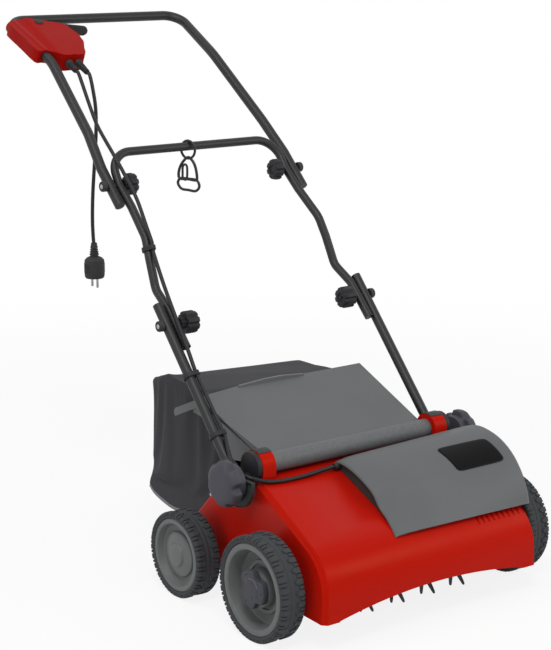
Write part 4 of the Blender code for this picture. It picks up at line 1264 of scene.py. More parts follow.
@dataclass
class Leads:
    """The motor lead in its three stretches, the plug lead with its plug, and what holds them."""

    boot_x: tuple[float, float] = (-0.150, -0.130)
    boot_end: tuple[float, float] = (0.197, 0.205)
    plug_centre: tuple[float, float] = (-0.130, 0.6155)
    rib_count: int = 9
    groove: float = 0.0008

    def build(self) -> None:
        """Makes all leads and their fittings."""
        eye = leg_eye()
        upper = [below_grip(self.boot_x[0], d) for d in (0.1885, 0.1995, 0.2065)]
        upper += [
            (-0.152, 0.6085, 0.838), (-0.160, 0.5650, 0.7935), (-0.168, 0.5261, 0.7626),
            (-0.184, 0.4440, 0.7180), (-0.1865, 0.4000, 0.6825), (-0.189, 0.3640, 0.6500),
            (-0.1925, 0.3300, 0.6080), *through(eye, LEG_ALONG, (0.012, 0.006, FIT / 2)),
        ]
        lower = [
            *through(eye, LEG_ALONG, (-FIT / 2, -0.006, -0.012)), (-0.2009, 0.2640, 0.5150),
            (-0.2084, 0.2130, 0.4610), (-0.2104, 0.1780, 0.4180),
        ]
        lower += through(EYE_MIDDLE, BAR_ALONG, (0.010, 0.005, -0.005, -0.010))
        lower += through(EYE_LOWER, BAR_ALONG, (0.012, 0.006, FIT / 2))
        deck = through(EYE_LOWER, BAR_ALONG, (-FIT / 2, -0.005, -0.009))
        deck += [
            (-0.2210, 0.0430, 0.2700), (-0.2284, 0.0220, 0.2560), (-0.2318, 0.0030, 0.2476),
            (-0.2322, -0.0120, 0.2438), (-0.2285, -0.0250, 0.2413), (-0.2200, -0.0318, 0.2385),
            (-0.2090, -0.0365, 0.2345), (-0.1930, -0.0410, 0.2312), (-0.1630, -0.0440, 0.2295),
            (-0.1200, -0.0440, 0.2300), (-0.0950, -0.0425, 0.2315), (-0.0750, -0.0430, 0.2330),
        ]
        deck += [(x, *GLAND) for x in (-0.0645, -0.0580, -0.0520)]
        upper_ends, lower_ends = ("upper_handle", "middle_handle"), ("middle_handle", "lower_bars")
        for name, route, bodies, bend in (
            ("upper", upper, upper_ends, ((0.52, 0.76), (0.36, 0.645))),
            ("lower", lower, lower_ends, ((0.27, 0.52), (0.175, 0.41))),
            ("deck", deck, ("lower_bars", "chassis"), ((0.05, 0.27), (-0.035, 0.24))),
        ):
            Stretch(f"motor_lead_{name}", route, bodies, bend).build()
        plug = self.plug()
        hanging = [below_grip(self.boot_x[1], d) for d in (0.1965, 0.2075, 0.2145)]
        drop = [
            (0.6080, 0.8300), (0.5980, 0.7900), (0.5990, 0.7400), (0.6060, 0.6900),
            (0.6150, 0.6300), (0.6190, 0.5800), (0.6180, 0.5450), (0.6160, 0.5280),
            (0.6155, 0.5150),
        ]
        hanging += [(self.boot_x[1], y, z) for y, z in drop]
        whole = ("upper_handle", "upper_handle")
        Stretch("plug_lead", hanging, whole, ((0, 0), (0, 0)), far_end="plug").build([plug])
        self.boots()
        clips = {"upper": "middle_handle", "middle": "lower_bars", "lower": "lower_bars"}
        for name, body in clips.items():
            clip = bevelled(node_copy(f"cable_clip_{name}", f"clip_band_{name}"), 0.0006, 2, 40)
            finished(clip, STAR, body, f"cable_clip_{name}")
        gland = bevelled(node_copy("cable_gland", "gland_sleeve"), 0.0005, 2, 50)
        finished(gland, BLACK_PLASTIC, "chassis", "cable_gland")

    def plug(self) -> bpy.types.Object:
        """The plug: a ribbed grip that widens to the flange round the two pins."""
        profile = [(0.0041, 0.0530), (0.0041, 0.0690), (0.0058, 0.0690), (0.0062, 0.0640)]
        for i in range(4):
            z = 0.0615 - 0.0045 * i
            profile += [
                (0.0072 + 0.0006 * i, z), (0.0072 + 0.0006 * i, z - 0.0022),
                (0.0058 + 0.0006 * i, z - 0.0024), (0.0058 + 0.0006 * i, z - 0.0043),
            ]
        profile += [
            (0.0110, 0.0420), (0.0150, 0.0400), (0.0188, 0.0360), (0.0195, 0.0310),
            (0.0195, 0.0080), (0.0188, 0.0030), (0.0170, 0.0005), (0.0150, 0.0), (0.0, 0.0),
        ]
        body = spun("plug_body", [(0, 0.0530), *profile], (0, 0), 48)
        ribs = []
        for i in range(self.rib_count):
            for side in (0.0, 180.0):
                turn = around((0, 0), side + 90 + (i - (self.rib_count - 1) / 2) * 7.0)
                side_view = [(0.0185, 0.010), (0.0199, 0.012), (0.0199, 0.029), (0.0185, 0.032)]
                rib = plate(f"rib_{i}", side_view, -0.0005, 0.0005, FLAT)
                upside_down = Matrix(((0, 1, 0, 0), (1, 0, 0, 0), (0, 0, -1, 0), (0, 0, 0, 1)))
                rib.data.transform(upside_down)
                rib.data.transform(turn)
                ribs.append(rib)
        pins = []
        for y in (-0.0095, 0.0095):
            pin = [(0, -0.0175), (0.0018, -0.0175), (0.0024, -0.0160), (0.0024, 0.003), (0, 0.003)]
            pins.append(spun("pin", pin, (y, 0), 20))
        foot = Matrix.Translation((*self.plug_centre, 0.462))
        upright = foot @ Matrix.Rotation(math.radians(-90), 4, "Y")
        for piece in (body, *ribs, *pins):
            piece.data.transform(upright)
            tidied(piece)
        grip = joined("plug_grip", [body, *ribs])
        finished(grip, BLACK_PLASTIC, "upper_handle", "plug", crease=32)
        metal = joined("plug_pins", pins)
        finished(metal, STEEL, "upper_handle")
        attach(metal, "upper_handle")
        return grip

    def boots(self) -> None:
        """The tapered, ribbed strain reliefs under the switch box."""
        for name, x, end in zip(("motor_lead_boot", "plug_lead_boot"), self.boot_x, self.boot_end):
            near = BOX_END + FIT
            profile = [(0, near), (0.0078, near), (0.0078, near + 0.004), (0.0072, near + 0.005)]
            place = near + 0.007
            while place < end - 0.003:
                share = (place - near) / (end - near)
                radius = 0.0072 - 0.0018 * share
                inner = radius - self.groove
                profile += [
                    (radius, place), (radius, place + 0.0016), (inner, place + 0.0018),
                    (inner, place + 0.0028),
                ]
                place += 0.0030
            bore = LEAD_RADIUS + FIT
            profile += [(0.0052, end), (bore, end), (bore, end - 0.010), (0, end - 0.010)]
            boot = spun(f"{name}_relief", profile, (0, 0), 40)
            down = Matrix.Rotation(math.radians(-90), 4, "Z")
            boot.data.transform(HANDLE_PLANE @ Matrix.Translation((x, 0, 0)) @ down)
            finished(tidied(boot), BLACK_PLASTIC, "upper_handle", name, crease=40)


@dataclass(kw_only=True)
class Wheel:
    """A wheel with a lugged tyre and a moulded rim."""

    axle: str
    side: Side
    centre: tuple[float, float]
    inner_x: float
    lugs: int
    width: float = 0.046
    tyre_depth: float = 0.0118
    tread_depth: float = 0.0026
    columns: int = 8

    @property
    def tyre_radius(self) -> float:
        """Radius at the top of the lugs."""
        return self.centre[1]

    @property
    def rim_radius(self) -> float:
        """Radius of the rim where the tyre sits."""
        return self.tyre_radius - self.tyre_depth - FIT

    def place(self, profile: Sequence[Point]) -> list[tuple[float, float]]:
        """The profile with its distances from the inner face turned into places along X."""
        return [(r, self.side.value * (self.inner_x + x)) for r, x in profile]

    def build(self) -> None:
        """Makes the tyre and the rim."""
        body = f"wheel_{self.axle}_{self.side.word}"
        finished(self.tyre(), TYRE, body, f"tyre_{self.axle}_{self.side.word}", crease=28)
        finished(self.rim(), RIM_GREY, body, f"rim_{self.axle}_{self.side.word}", crease=30)

    def tyre(self) -> bpy.types.Object:
        """A tyre with U-shaped lugs on both shoulders, bars between them and bead lines."""
        top = self.tyre_radius - self.tread_depth
        ring = self.tyre_radius - self.tyre_depth
        w = self.width
        wall = [
            (ring, 0.0022), (ring + 0.003, 0.0006), (top - 0.0050, 0.0004), (top - 0.0044, 0.0002),
            (top - 0.0040, 0.0012), (top - 0.0014, 0.0022), (top, 0.0046),
        ]
        crown = [
            (top, 0.0100), (top, 0.0140), (top, 0.0165), (top - 0.0010, 0.0172),
            (top - 0.0010, 0.0196), (top, 0.0203),
        ]
        half = wall + crown
        profile = half + [(r, w - x) for r, x in reversed(half)]
        steps = self.lugs * self.columns
        name = f"tyre_{self.axle}_{self.side.word}_tread"
        tyre = spun(name, self.place(profile), self.centre, steps, closed=True)
        pitch = 360.0 / self.lugs
        y0, z0 = self.centre

        def lug(middle: Vector, normal: Vector) -> bool:
            """Whether a face belongs to a lug."""
            x = abs(middle.x) - self.inner_x
            edge = min(x, w - x)
            radius = math.hypot(middle.y - y0, middle.z - z0)
            if radius < top - 0.0042 or edge > 0.0165:
                return False
            turn = math.degrees(math.atan2(middle.z - z0, middle.y - y0)) % 360
            turn = (turn + (pitch / 2 if x > w / 2 else 0.0)) % pitch
            column = int(turn / pitch * self.columns)
            if column in (1, 2):
                return edge < 0.0165
            if column in (0, 3):
                return edge < 0.0140
            return column in (5, 6) and edge < 0.0100

        only(tyre)
        edit("FACE")
        pick(tyre, lug)
        bpy.ops.mesh.extrude_region_shrink_fatten(
            TRANSFORM_OT_shrink_fatten={"value": self.tread_depth - 0.0001}
        )
        leave()
        self.capped(tyre)
        return bevelled(tyre, 0.0005, 1, 40)

    def capped(self, tyre: bpy.types.Object) -> None:
        """Keeps the lugs inside the tyre's own cylinder and width."""
        low, high = self.inner_x, self.inner_x + self.width
        for vertex in tyre.data.vertices:
            y, z = vertex.co.y - self.centre[0], vertex.co.z - self.centre[1]
            radius = math.hypot(y, z)
            if radius > self.tyre_radius:
                vertex.co.y = self.centre[0] + y * self.tyre_radius / radius
                vertex.co.z = self.centre[1] + z * self.tyre_radius / radius
            across = min(max(abs(vertex.co.x), low), high)
            vertex.co.x = math.copysign(across, vertex.co.x)

    def rim(self) -> bpy.types.Object:
        """The moulded rim, which has a deep dish in front and a hub cap at the rear."""
        raise NotImplementedError


@dataclass(kw_only=True)
class FrontWheel(Wheel):
    """A front wheel, whose dish holds the depth knob."""

    axle: str = "front"
    centre: tuple[float, float] = FRONT_WHEEL
    inner_x: float = 0.2475
    lugs: int = 30
    bore: float = 0.0123
    ledge: float = 0.0435

    def rim(self) -> bpy.types.Object:
        """A flat flange, a deep round wall and a disc with two curved ledges."""
        r = self.rim_radius
        profile = [
            (self.bore, 0.0), (0.018, 0.0), (0.020, 0.010), (r - 0.010, 0.006), (r - 0.001, 0.0025),
            (r, 0.0035), (r, 0.0425), (r - 0.0007, 0.0436), (r - 0.0030, 0.0442),
            (r - 0.0085, 0.0442), (r - 0.0100, 0.0436), (r - 0.0108, 0.0420), (r - 0.0140, 0.0200),
            (r - 0.0152, 0.0172), (r - 0.0180, 0.0160), (self.ledge + 0.0010, 0.0160),
            (self.ledge, 0.0166), (self.ledge - 0.0010, 0.0160), (0.0380, 0.0160), (0.0345, 0.0166),
            (0.0330, 0.0185), (0.0318, 0.0300), (0.0308, 0.0316), (0.0290, 0.0322),
            (self.bore, 0.0322),
        ]
        name = f"rim_front_{self.side.word}_dish"
        rim = spun(name, self.place(profile), self.centre, 96, closed=True)
        y0, z0 = self.centre

        def arcs(middle: Vector, normal: Vector) -> bool:
            """Whether a face lies on one of the two raised arcs of the disc."""
            radius = math.hypot(middle.y - y0, middle.z - z0)
            turn = math.degrees(math.atan2(middle.z - z0, middle.y - y0)) % 360
            on_arc = 20 < turn < 110 or 200 < turn < 290
            outward = normal.x * self.side.value > 0.6
            return outward and on_arc and self.ledge - 0.0055 < radius < self.ledge + 0.0005

        only(rim)
        edit("FACE")
        pick(rim, arcs)
        bpy.ops.mesh.extrude_region_move(
            TRANSFORM_OT_translate={"value": (self.side.value * 0.0035, 0, 0)}
        )
        leave()
        return bevelled(tidied(rim), 0.0004, 2, 40)


@dataclass(kw_only=True)
class RearWheel(Wheel):
    """A rear wheel, whose rim is closed by a hub cap."""

    axle: str = "rear"
    centre: tuple[float, float] = REAR_WHEEL
    inner_x: float = 0.237
    lugs: int = 26
    bore: float = 0.0053

    def rim(self) -> bpy.types.Object:
        """A flange, a step and a domed cap with a bare raised badge."""
        r = self.rim_radius
        profile = [
            (0, 0.0358), (self.bore, 0.0358), (self.bore, 0.0), (0.014, 0.0), (0.016, 0.012),
            (r - 0.010, 0.008), (r - 0.001, 0.0025), (r, 0.0035), (r, 0.0425), (r - 0.0007, 0.0436),
            (r - 0.0030, 0.0442), (r - 0.0070, 0.0442), (r - 0.0082, 0.0436), (r - 0.0088, 0.0420),
            (r - 0.0125, 0.0335), (r - 0.0150, 0.0318), (r - 0.0200, 0.0315), (0.0420, 0.0318),
            (0.0405, 0.0326), (0.0400, 0.0345), (0.0385, 0.0362), (0.0300, 0.0390),
            (0.0215, 0.0405), (0.0205, 0.0415), (0.0200, 0.0430), (0.0190, 0.0440),
            (0.0120, 0.0452), (0.0, 0.0455),
        ]
        name = f"rim_rear_{self.side.word}_cap"
        return spun(name, self.place(profile), self.centre, 96)


@dataclass
class DepthKnob:
    """The three-lobed knob of a front wheel, with detent holes and a curved pointer rib whose
    lighter grey is a painted highlight.
    """

    side: Side
    radius: float = 0.0325
    notch: float = 0.0100
    low: float = 0.2804
    hole_reach: float = 0.0265

    def edge(self) -> list[tuple[float, float]]:
        """Its outline: a circle with three deep finger notches."""
        points = []
        for i in range(96):
            turn = 2 * math.pi * i / 96
            dip = max(0.0, math.cos(3 * turn) - 0.15) / 0.85
            reach = self.radius - self.notch * dip**1.2
            points.append((reach * math.cos(turn), reach * math.sin(turn)))
        return points

    def build(self) -> None:
        """Makes the knob and dresses the stub axle behind it."""
        word = self.side.word
        levels = [
            (0.0, 0.94), (0.0008, 0.99), (0.0016, 1.0), (0.0090, 1.0), (0.0104, 0.985),
            (0.0113, 0.955), (0.0118, 0.90), (0.01185, 0.86), (0.0114, 0.845), (0.0114, 0.52),
            (0.0119, 0.50), (0.0121, 0.46),
        ]
        knob = stacked(f"depth_knob_{word}", self.edge(), levels, FLAT)
        for turn in (60, 180, 300):
            angle = math.radians(turn)
            hole = rod(0.006, 0.02, 0.0014, (0, 0), 20)
            hole.data.transform(ALONG_X.inverted())
            spot = (self.hole_reach * math.cos(angle), self.hole_reach * math.sin(angle), 0)
            hole.data.transform(Matrix.Translation(spot))
            combined(knob, hole)
        place = self.side.flip @ Matrix.Translation((self.low, *FRONT_WHEEL)) @ ALONG_X
        knob.data.transform(place)
        finished(tidied(knob), KNOB, f"adjuster_{word}", f"depth_adjuster_{word}", crease=38)
        # The rib is a real raised rib, but it is drawn in the cover's lighter grey rather than the
        # knob's own grey: a painted highlight.
        painted_highlight_arc = [(*p, 0.0116) for p in arc((0, 0), 0.0185, 70, 160, 14)]
        rib = tube(f"depth_rib_{word}", painted_highlight_arc, 0.0009)
        rib.data.transform(place)
        finished(tidied(rib), GREY, f"adjuster_{word}")
        dressed(f"front_axle_{word}", STEEL)


@dataclass
class Deck:
    """The red deck with its ears, base joints and what sits on it."""

    wall: float = 0.004
    side_bevel: float = 0.008
    edge: float = 0.0013
    boss: tuple[float, float] = (-0.126, 0.0884)
    tunnel_half: float = 0.172
    plate_outer: float = 0.177
    ear_radius: float = 0.026
    foot: tuple[float, float, float] = (0.235, -0.235, 0.050)
    lean: float = 0.050
    taper: float = 0.0594
    knife_count: int = 19
    knife_pitch: float = 0.0168

    def build(self) -> None:
        """Makes the housing and dresses the fixed pieces on it."""
        deck = self.body()
        for cutter in (self.tunnel(), self.side_room(1), self.side_room(-1)):
            combined(deck, cutter)
        y, reach = FLAP_AXIS[0], self.ear_radius
        ear = arc(FLAP_AXIS, reach, 0, 180, 24) + [(y - reach, 0.2285), (y + reach, 0.2285)]
        for side in (1, -1):
            combined(deck, plate("ear", ear, *sorted((side * 0.1765, side * 0.2035))), "UNION")
            combined(deck, rod(*sorted((side * 0.203, side * 0.2245)), 0.018, self.boss), "UNION")
        for cutter in self.cuts():
            combined(deck, cutter)
        bevelled(deck, self.edge, 2, 28)
        finished(deck, RED, "chassis", "deck_housing", crease=30, weighted=True)
        for side in Side:
            self.ear_cap(side)
            self.joint(side)
        steel = ("flap_hinge_rod", "flap_spring", "rear_axle", "motor", "motor_pulley")
        for node in (*steel, "roller_pulley", "roller_bearing_left", "roller_bearing_right"):
            dressed(node, STEEL)
        dressed("drive_belt", BELT)
        self.knives()

    def half_width(self, y: float, z: float) -> float:
        """Half of the deck's width, which narrows upwards and to the rear."""
        half, front, low = self.foot
        return half - self.lean * (z - low) - self.taper * (y - front)

    def body(self) -> bpy.types.Object:
        """The outer block with its tapered sides and chamfered side edges."""
        body = plate("deck_shell", filleted(DECK_SIDE, closed=True, step=5), -1, 1)
        for vertex in body.data.vertices:
            vertex.co.x = math.copysign(self.half_width(vertex.co.y, vertex.co.z), vertex.co.x)
        only(body)
        edit("EDGE")
        work = bmesh.from_edit_mesh(body.data)
        for edge in work.edges:
            a, b = (vertex.co for vertex in edge.verts)
            edge.select_set(a.x * b.x > 0 and max(a.z, b.z) > 0.051)
        bmesh.update_edit_mesh(body.data)
        bpy.ops.mesh.bevel(offset=self.side_bevel, segments=1, affect="EDGES")
        leave()
        return body

    def tunnel(self) -> bpy.types.Object:
        """Room for the knife roller, the chute behind it and the mouth under the flap."""
        outline = [
            (-0.2235, 0.040), *arc(ROLLER, 0.0805, 180, 45, 24), (-0.012, 0.2216), (0.015, 0.2216),
            (0.015, 0.400), (0.200, 0.400), (0.200, 0.107), (0.010, 0.088), (0.010, 0.083),
            (0.164, 0.0984), (0.164, 0.040),
        ]
        return plate("tunnel", outline, -self.tunnel_half, self.tunnel_half)

    def side_room(self, side: int) -> bpy.types.Object:
        """The hollow between an end plate and the side wall, rounded inside the nose.

        Args:
            side: -1 for the left, 1 for the right.

        Returns:
            The hollow.
        """
        outline = [
            (-0.231, 0.040, 0), (-0.231, 0.140, 0.081), (-0.085, 0.2030, 0), (0.075, 0.2030, 0),
            (0.164, 0.1180, 0), (0.164, 0.040, 0),
        ]
        room = plate("side_room", filleted(outline, closed=True, step=8), 1, 2)
        for vertex in room.data.vertices:
            wide = self.half_width(vertex.co.y, vertex.co.z) - self.wall
            vertex.co.x = side * (wide if vertex.co.x > 1.5 else self.plate_outer)
        return tidied(room)

    def cuts(self) -> list[bpy.types.Object]:
        """The motor's bay, the arched front, the vents, the bores and the joints' rooms."""
        arch = [(-0.2021, 0.040)]
        arch += [(0.2021 * k / 10, 0.0515 + 0.0205 * (1 - (k / 10) ** 2)) for k in range(-10, 11)]
        made = [block((-0.040, -0.1425, 0.1707), (0.205, -0.0675, 0.30))]
        made.append(plate("arch", [*arch, (0.2021, 0.040)], 0.20, 0.26, ALONG_Y))
        for i in range(10):
            slot = block((-0.0018, -0.0105, -0.003), (0.0018, 0.0105, 0.003))
            place = Matrix.Translation((0.115 + 0.0115 * i, -0.2085, 0.1495))
            slot.data.transform(place @ Matrix.Rotation(math.radians(39), 4, "X"))
            made.append(slot)
        made += [rod(-0.235, 0.235, 0.0055, REAR_WHEEL), rod(-0.180, 0.180, 0.0163, ROLLER)]
        for side in (1, -1):
            for near, far, radius, centre in (
                (0.209, 0.255, 0.0103, self.boss),
                (0.170, 0.1995, 0.0036, FLAP_AXIS),
                (0.2038, 0.24, 0.0245, BASE_PIVOT),
                (0.2038, 0.24, 0.026, FLAP_AXIS),
                (0.188, 0.2045, STUD_HOLE, BASE_PIVOT),
            ):
                made.append(rod(*sorted((side * near, side * far)), radius, centre))
            x0, x1 = sorted((side * 0.171, side * 0.235))
            made.append(block((x0, 0.1228, 0.1629), (x1, 0.150, 0.20)))
        return made

    def knives(self) -> None:
        """The roller's drum, journals and double-ended knives in four directions."""
        pieces = [rod(-0.168, 0.168, 0.012, ROLLER, 32), rod(-0.182, 0.200, 0.008, ROLLER, 32)]
        half = [
            (0.030, -0.0080), (0.0700, -0.0030), (0.0728, -0.0020), (0.0740, 0.0), (0.0728, 0.0020),
            (0.0700, 0.0030), (0.030, 0.0080), (0.0, 0.0085),
        ]
        outline = half + [(-y, -z) for y, z in half]
        for k in range(self.knife_count):
            x = self.knife_pitch * (k - self.knife_count // 2)
            knife = plate("knife", outline, x - 0.001, x + 0.001)
            turn = Matrix.Rotation(math.radians(90 + 45 * (k % 4)), 4, "X")
            knife.data.transform(Matrix.Translation((0, *ROLLER)) @ turn)
            pieces.append(bevelled(knife, 0.0003, 1, 50))
        finished(joined("knives", pieces), KNIFE, "roller", "knife_roller", crease=40)

    def ear_cap(self, side: Side) -> None:
        """The grey shell on top of a hinge ear.

        Args:
            side: Which ear.
        """
        outline = arc(FLAP_AXIS, 0.0274, 58, 118, 24) + arc(FLAP_AXIS, 0.0262, 118, 58, 24)
        ends = sorted((side.value * 0.1768, side.value * 0.2030))
        cap = bevelled(plate(f"ear_cap_{side.word}", outline, *ends), 0.0004, 2)
        finished(cap, DARK_GREY, "chassis")

    def joint(self, side: Side) -> None:
        """The bush, the washer and the fluted knob of a base joint.

        Args:
            side: Which side.
        """
        word = side.word
        square = side.flip @ ALONG_X

        def bored(piece: bpy.types.Object) -> bpy.types.Object:
            """The piece with the stud's hole through it."""
            hole = rod(0.19, 0.25, STUD_HOLE, BASE_PIVOT, 32)
            hole.data.transform(side.flip)
            return combined(piece, tidied(hole))

        disc = arc(FLAP_AXIS, 0.0254, 0, 355, 71)
        bush = bored(plate(f"base_bush_{word}_disc", disc, 0.2040, 0.2125, square))
        finished(bevelled(bush, 0.0008, 2, 50), STAR, "chassis", f"base_bush_{word}", crease=40)
        shield = arc(BASE_PIVOT, 0.0445, -190, 10, 60)
        guard = plate(f"base_washer_{word}_guard", shield, 0.2319, 0.2393, square)
        recess = plate("recess", arc(BASE_PIVOT, 0.0425, -187, 7, 60), 0.2375, 0.25, square)
        guard = bevelled(bored(combined(guard, recess)), 0.0006, 2, 50)
        finished(guard, BLACK_PLASTIC, "chassis", f"base_washer_{word}", crease=40)
        outer, inner = arc(BASE_PIVOT, 0.0418, -184, 4, 60), arc(BASE_PIVOT, 0.0330, 4, -184, 60)
        crescent = plate(f"base_crescent_{word}", outer + inner, 0.2368, 0.2382, square)
        finished(crescent, DARK_GREY, "chassis")
        self.base_knob(side)

    def base_knob(self, side: Side) -> None:
        """The fluted knob of a base joint, with its neck and stud.

        Args:
            side: Which side.
        """
        levels = [
            (0.2397, 0.74), (0.2400, 0.76), (0.2520, 0.78), (0.2526, 0.95), (0.2534, 0.985),
            (0.2546, 1.0), (0.2600, 1.0), (0.2640, 0.99), (0.2672, 0.965), (0.2698, 0.92),
            (0.2718, 0.86), (0.2733, 0.78), (0.2742, 0.68), (0.2747, 0.55), (0.2747, 0.30),
        ]
        place = side.flip @ Matrix.Translation((0, *BASE_PIVOT))
        name = f"base_knob_{side.word}"
        knob = stacked(f"{name}_cap", arc((0, 0), 0.0397, 0, 358, 179), levels, place @ ALONG_X)
        for vertex in knob.data.vertices:
            y, z = vertex.co.y - BASE_PIVOT[0], vertex.co.z - BASE_PIVOT[1]
            hollow = max(0.0, math.cos(6 * math.atan2(z, y))) ** 1.5
            out = abs(vertex.co.x)
            fade = kept((0.2740 - out) / 0.0100) if out > 0.2522 else 0.0
            share = 1 - 0.21 * hollow * fade
            vertex.co.y, vertex.co.z = BASE_PIVOT[0] + y * share, BASE_PIVOT[1] + z * share
        stud = rod(0.190, 0.2457, 0.004, (0, 0), 24)
        stud.data.transform(place)
        combined(tidied(knob), tidied(stud), "UNION")
        finished(knob, KNOB, name, name, crease=38)


@dataclass
class Hood:
    """The grey cover over the motor, with a bare black plate on top."""

    left: tuple[Point, ...] = (
        (-0.026, 0.230),
        (-0.036, 0.2425),
        (-0.057, 0.2450),
        (-0.094, 0.2356),
        (-0.136, 0.2152),
        (-0.1567, 0.1925),
        (-0.1810, 0.1770),
        (-0.2080, 0.1585),
    )
    right: tuple[Point, ...] = (
        (-0.026, 0.236),
        (-0.030, 0.247),
        (-0.065, 0.262),
        (-0.093, 0.2665),
        (-0.133, 0.2585),
        (-0.168, 0.2385),
        (-0.194, 0.2095),
        (-0.210, 0.178),
        (-0.216, 0.156),
    )
    ends: tuple[float, float] = (-0.055, 0.236)
    wall: float = 0.003
    rolls: tuple[float, float] = (0.004, 0.010)
    rows: int = 60
    shoulder: float = 0.0028

    def build(self) -> None:
        """Makes the skin, the walls at its ends and the bare plate on top."""
        self.ways = [resampled(smooth(side, 4), self.rows + 1) for side in (self.left, self.right)]
        skin = self.skin()
        x0, x1 = self.ends
        right = self.side_wall("hood_right", 1.0, 0.0095, (x1 - 0.0030, x1 - 0.0002))
        inset = (x0 + 0.0045, x0 + 0.0080)
        left = self.side_wall("hood_left_wall", 0.0, self.wall + 0.0004, inset)
        for piece in (skin, right, left):
            for relief in self.reliefs():
                combined(piece, relief)
        skin = bevelled(skin, 0.0008, 2, 50)
        hood = joined("hood_skin", [skin, bevelled(right, 0.0004, 1, 50)])
        finished(hood, GREY, "chassis", "motor_cover", crease=32, weighted=True)
        finished(bevelled(left, 0.0004, 1, 50), DARK_GREY, "chassis")
        finished(self.badge(), LABEL, "chassis", crease=40)

    def place(self, x: float, along: float, sink: float) -> Vector:
        """A point of the cover.

        Args:
            x: Place across the machine.
            along: Way from the rear edge, in rows.
            sink: Distance below the outer skin.

        Returns:
            The point.
        """
        share = (x - self.ends[0]) / (self.ends[1] - self.ends[0])
        row = min(int(along), self.rows - 1)
        a, b = (self.ways[0][k].lerp(self.ways[1][k], share) for k in (row, row + 1))
        step = (b - a).normalized()
        before = self.ways[0][max(row - 1, 0)].lerp(self.ways[1][max(row - 1, 0)], share)
        if along == row and row:
            step = (b - before).normalized()
        point = a.lerp(b, along - row) - Vector((step.y, -step.x)) * sink
        flare = max(along / self.rows - 0.7, 0.0) / 0.3
        return Vector((x - 0.008 * flare**2 * (1 - share), point.x, point.y))

    def skin(self) -> bpy.types.Object:
        """The bent skin with its two long edges rolled down."""
        near, far = self.rolls
        x0, x1 = self.ends
        stations = []
        for t in (0.0, 0.4, 0.8, 1.2):
            stations.append((x0 + near * (1 - math.cos(t)), near * (1 - math.sin(t))))
        stations += [(x0 + near + (x1 - far - x0 - near) * i / 14, 0.0) for i in range(15)]
        for t in (0.25, 0.5, 0.8, 1.1, 1.35, math.pi / 2):
            stations.append((x1 - far + far * math.sin(t), far * (1 - math.cos(t))))
        deselect()
        bpy.ops.mesh.primitive_grid_add(
            x_subdivisions=len(stations) - 1, y_subdivisions=self.rows, size=1
        )
        skin = bpy.context.active_object
        skin.name = "hood_skin"
        for vertex in skin.data.vertices:
            x, drop = stations[round((vertex.co.x + 0.5) * (len(stations) - 1))]
            row = round((0.5 - vertex.co.y) * self.rows)
            drop += self.shoulder * (1 - eased(kept((x - x0) / 0.030)))
            vertex.co = self.place(x, row, drop)
        tidied(skin)
        edit_all()
        work = bmesh.from_edit_mesh(skin.data)
        highest = max(work.faces, key=lambda face: face.calc_center_median().z)
        if highest.normal.z < 0:
            bpy.ops.mesh.flip_normals()
        leave()
        return thickened(skin, self.wall)

    def side_wall(
        self, name: str, share: float, sink: float, ends: tuple[float, float]
    ) -> bpy.types.Object:
        """The flat wall under one end of the skin.

        Args:
            name: The wall's name.
            share: 0 for the left end, 1 for the right.
            sink: Distance of its edge below the outer skin.
            ends: Where it starts and ends along X.

        Returns:
            The wall.
        """
        x = self.ends[0] + share * (self.ends[1] - self.ends[0])
        outline = [self.place(x, row, sink).yz for row in range(1, self.rows, 2)]
        outline = [(p.x, p.y) for p in outline]
        outline += [
            (outline[-1][0], outline[-1][1] - 0.012), (outline[0][0], outline[0][1] - 0.045)
        ]
        return plate(name, outline, *ends)

    def reliefs(self) -> list[bpy.types.Object]:
        """What is cut from the cover: the deck under it, a hinge ear and a base joint."""
        raised = [(y, z + 0.0005, r) for y, z, r in DECK_SIDE]
        room = 0.0268
        ear = arc(FLAP_AXIS, room, 0, 180, 24)
        ear += [(FLAP_AXIS[0] - room, 0.2245), (FLAP_AXIS[0] + room, 0.2245)]
        cutters = [plate("deck_room", filleted(raised, closed=True), -0.3, 0.3)]
        cutters.append(plate("ear_room", ear, 0.1755, 0.26))
        for start, radius in ((0.203, 0.0245), (0.2309, 0.0455)):
            cutters.append(rod(start, 0.26, radius, BASE_PIVOT, 64))
        return cutters

    def badge(self) -> bpy.types.Object:
        """The bare black plate, with rounded corners."""
        corners = ((0.553, 0.396), (0.889, 0.452), (0.908, 0.674), (0.574, 0.648))
        deselect()
        bpy.ops.mesh.primitive_grid_add(x_subdivisions=20, y_subdivisions=14, size=2)
        badge = bpy.context.active_object
        badge.name = "hood_badge"
        for vertex in badge.data.vertices:
            s, t = vertex.co.x, -vertex.co.y
            s, t = s * (1 - 0.05 * abs(t) ** 12), t * (1 - 0.09 * abs(s) ** 12)
            s, t = (s + 1) / 2, (t + 1) / 2
            near = Vector(corners[0]).lerp(Vector(corners[1]), s)
            far = Vector(corners[3]).lerp(Vector(corners[2]), s)
            share, along = near.lerp(far, t)
            x = self.ends[0] + share * (self.ends[1] - self.ends[0])
            vertex.co = self.place(x, along * self.rows, -0.0006)
        return bevelled(tidied(thickened(badge, 0.0014, 0.0)), 0.0003, 2, 50)


@dataclass
class Flap:
    """The ejector flap over the bag's mouth."""

    def build(self) -> None:
        """Refines the flap."""
        flap = node_copy("ejector_flap", "flap_shell")
        for vertex in flap.data.vertices:
            if vertex.co.x < -0.1795 and vertex.co.y > 0.170 and vertex.co.z > 0.28:
                vertex.co.z -= 0.36 * (vertex.co.y - 0.170)
        bevelled(flap, 0.0010, 2, 30)
        finished(flap, GREY, "flap", "ejector_flap", crease=26, weighted=True)


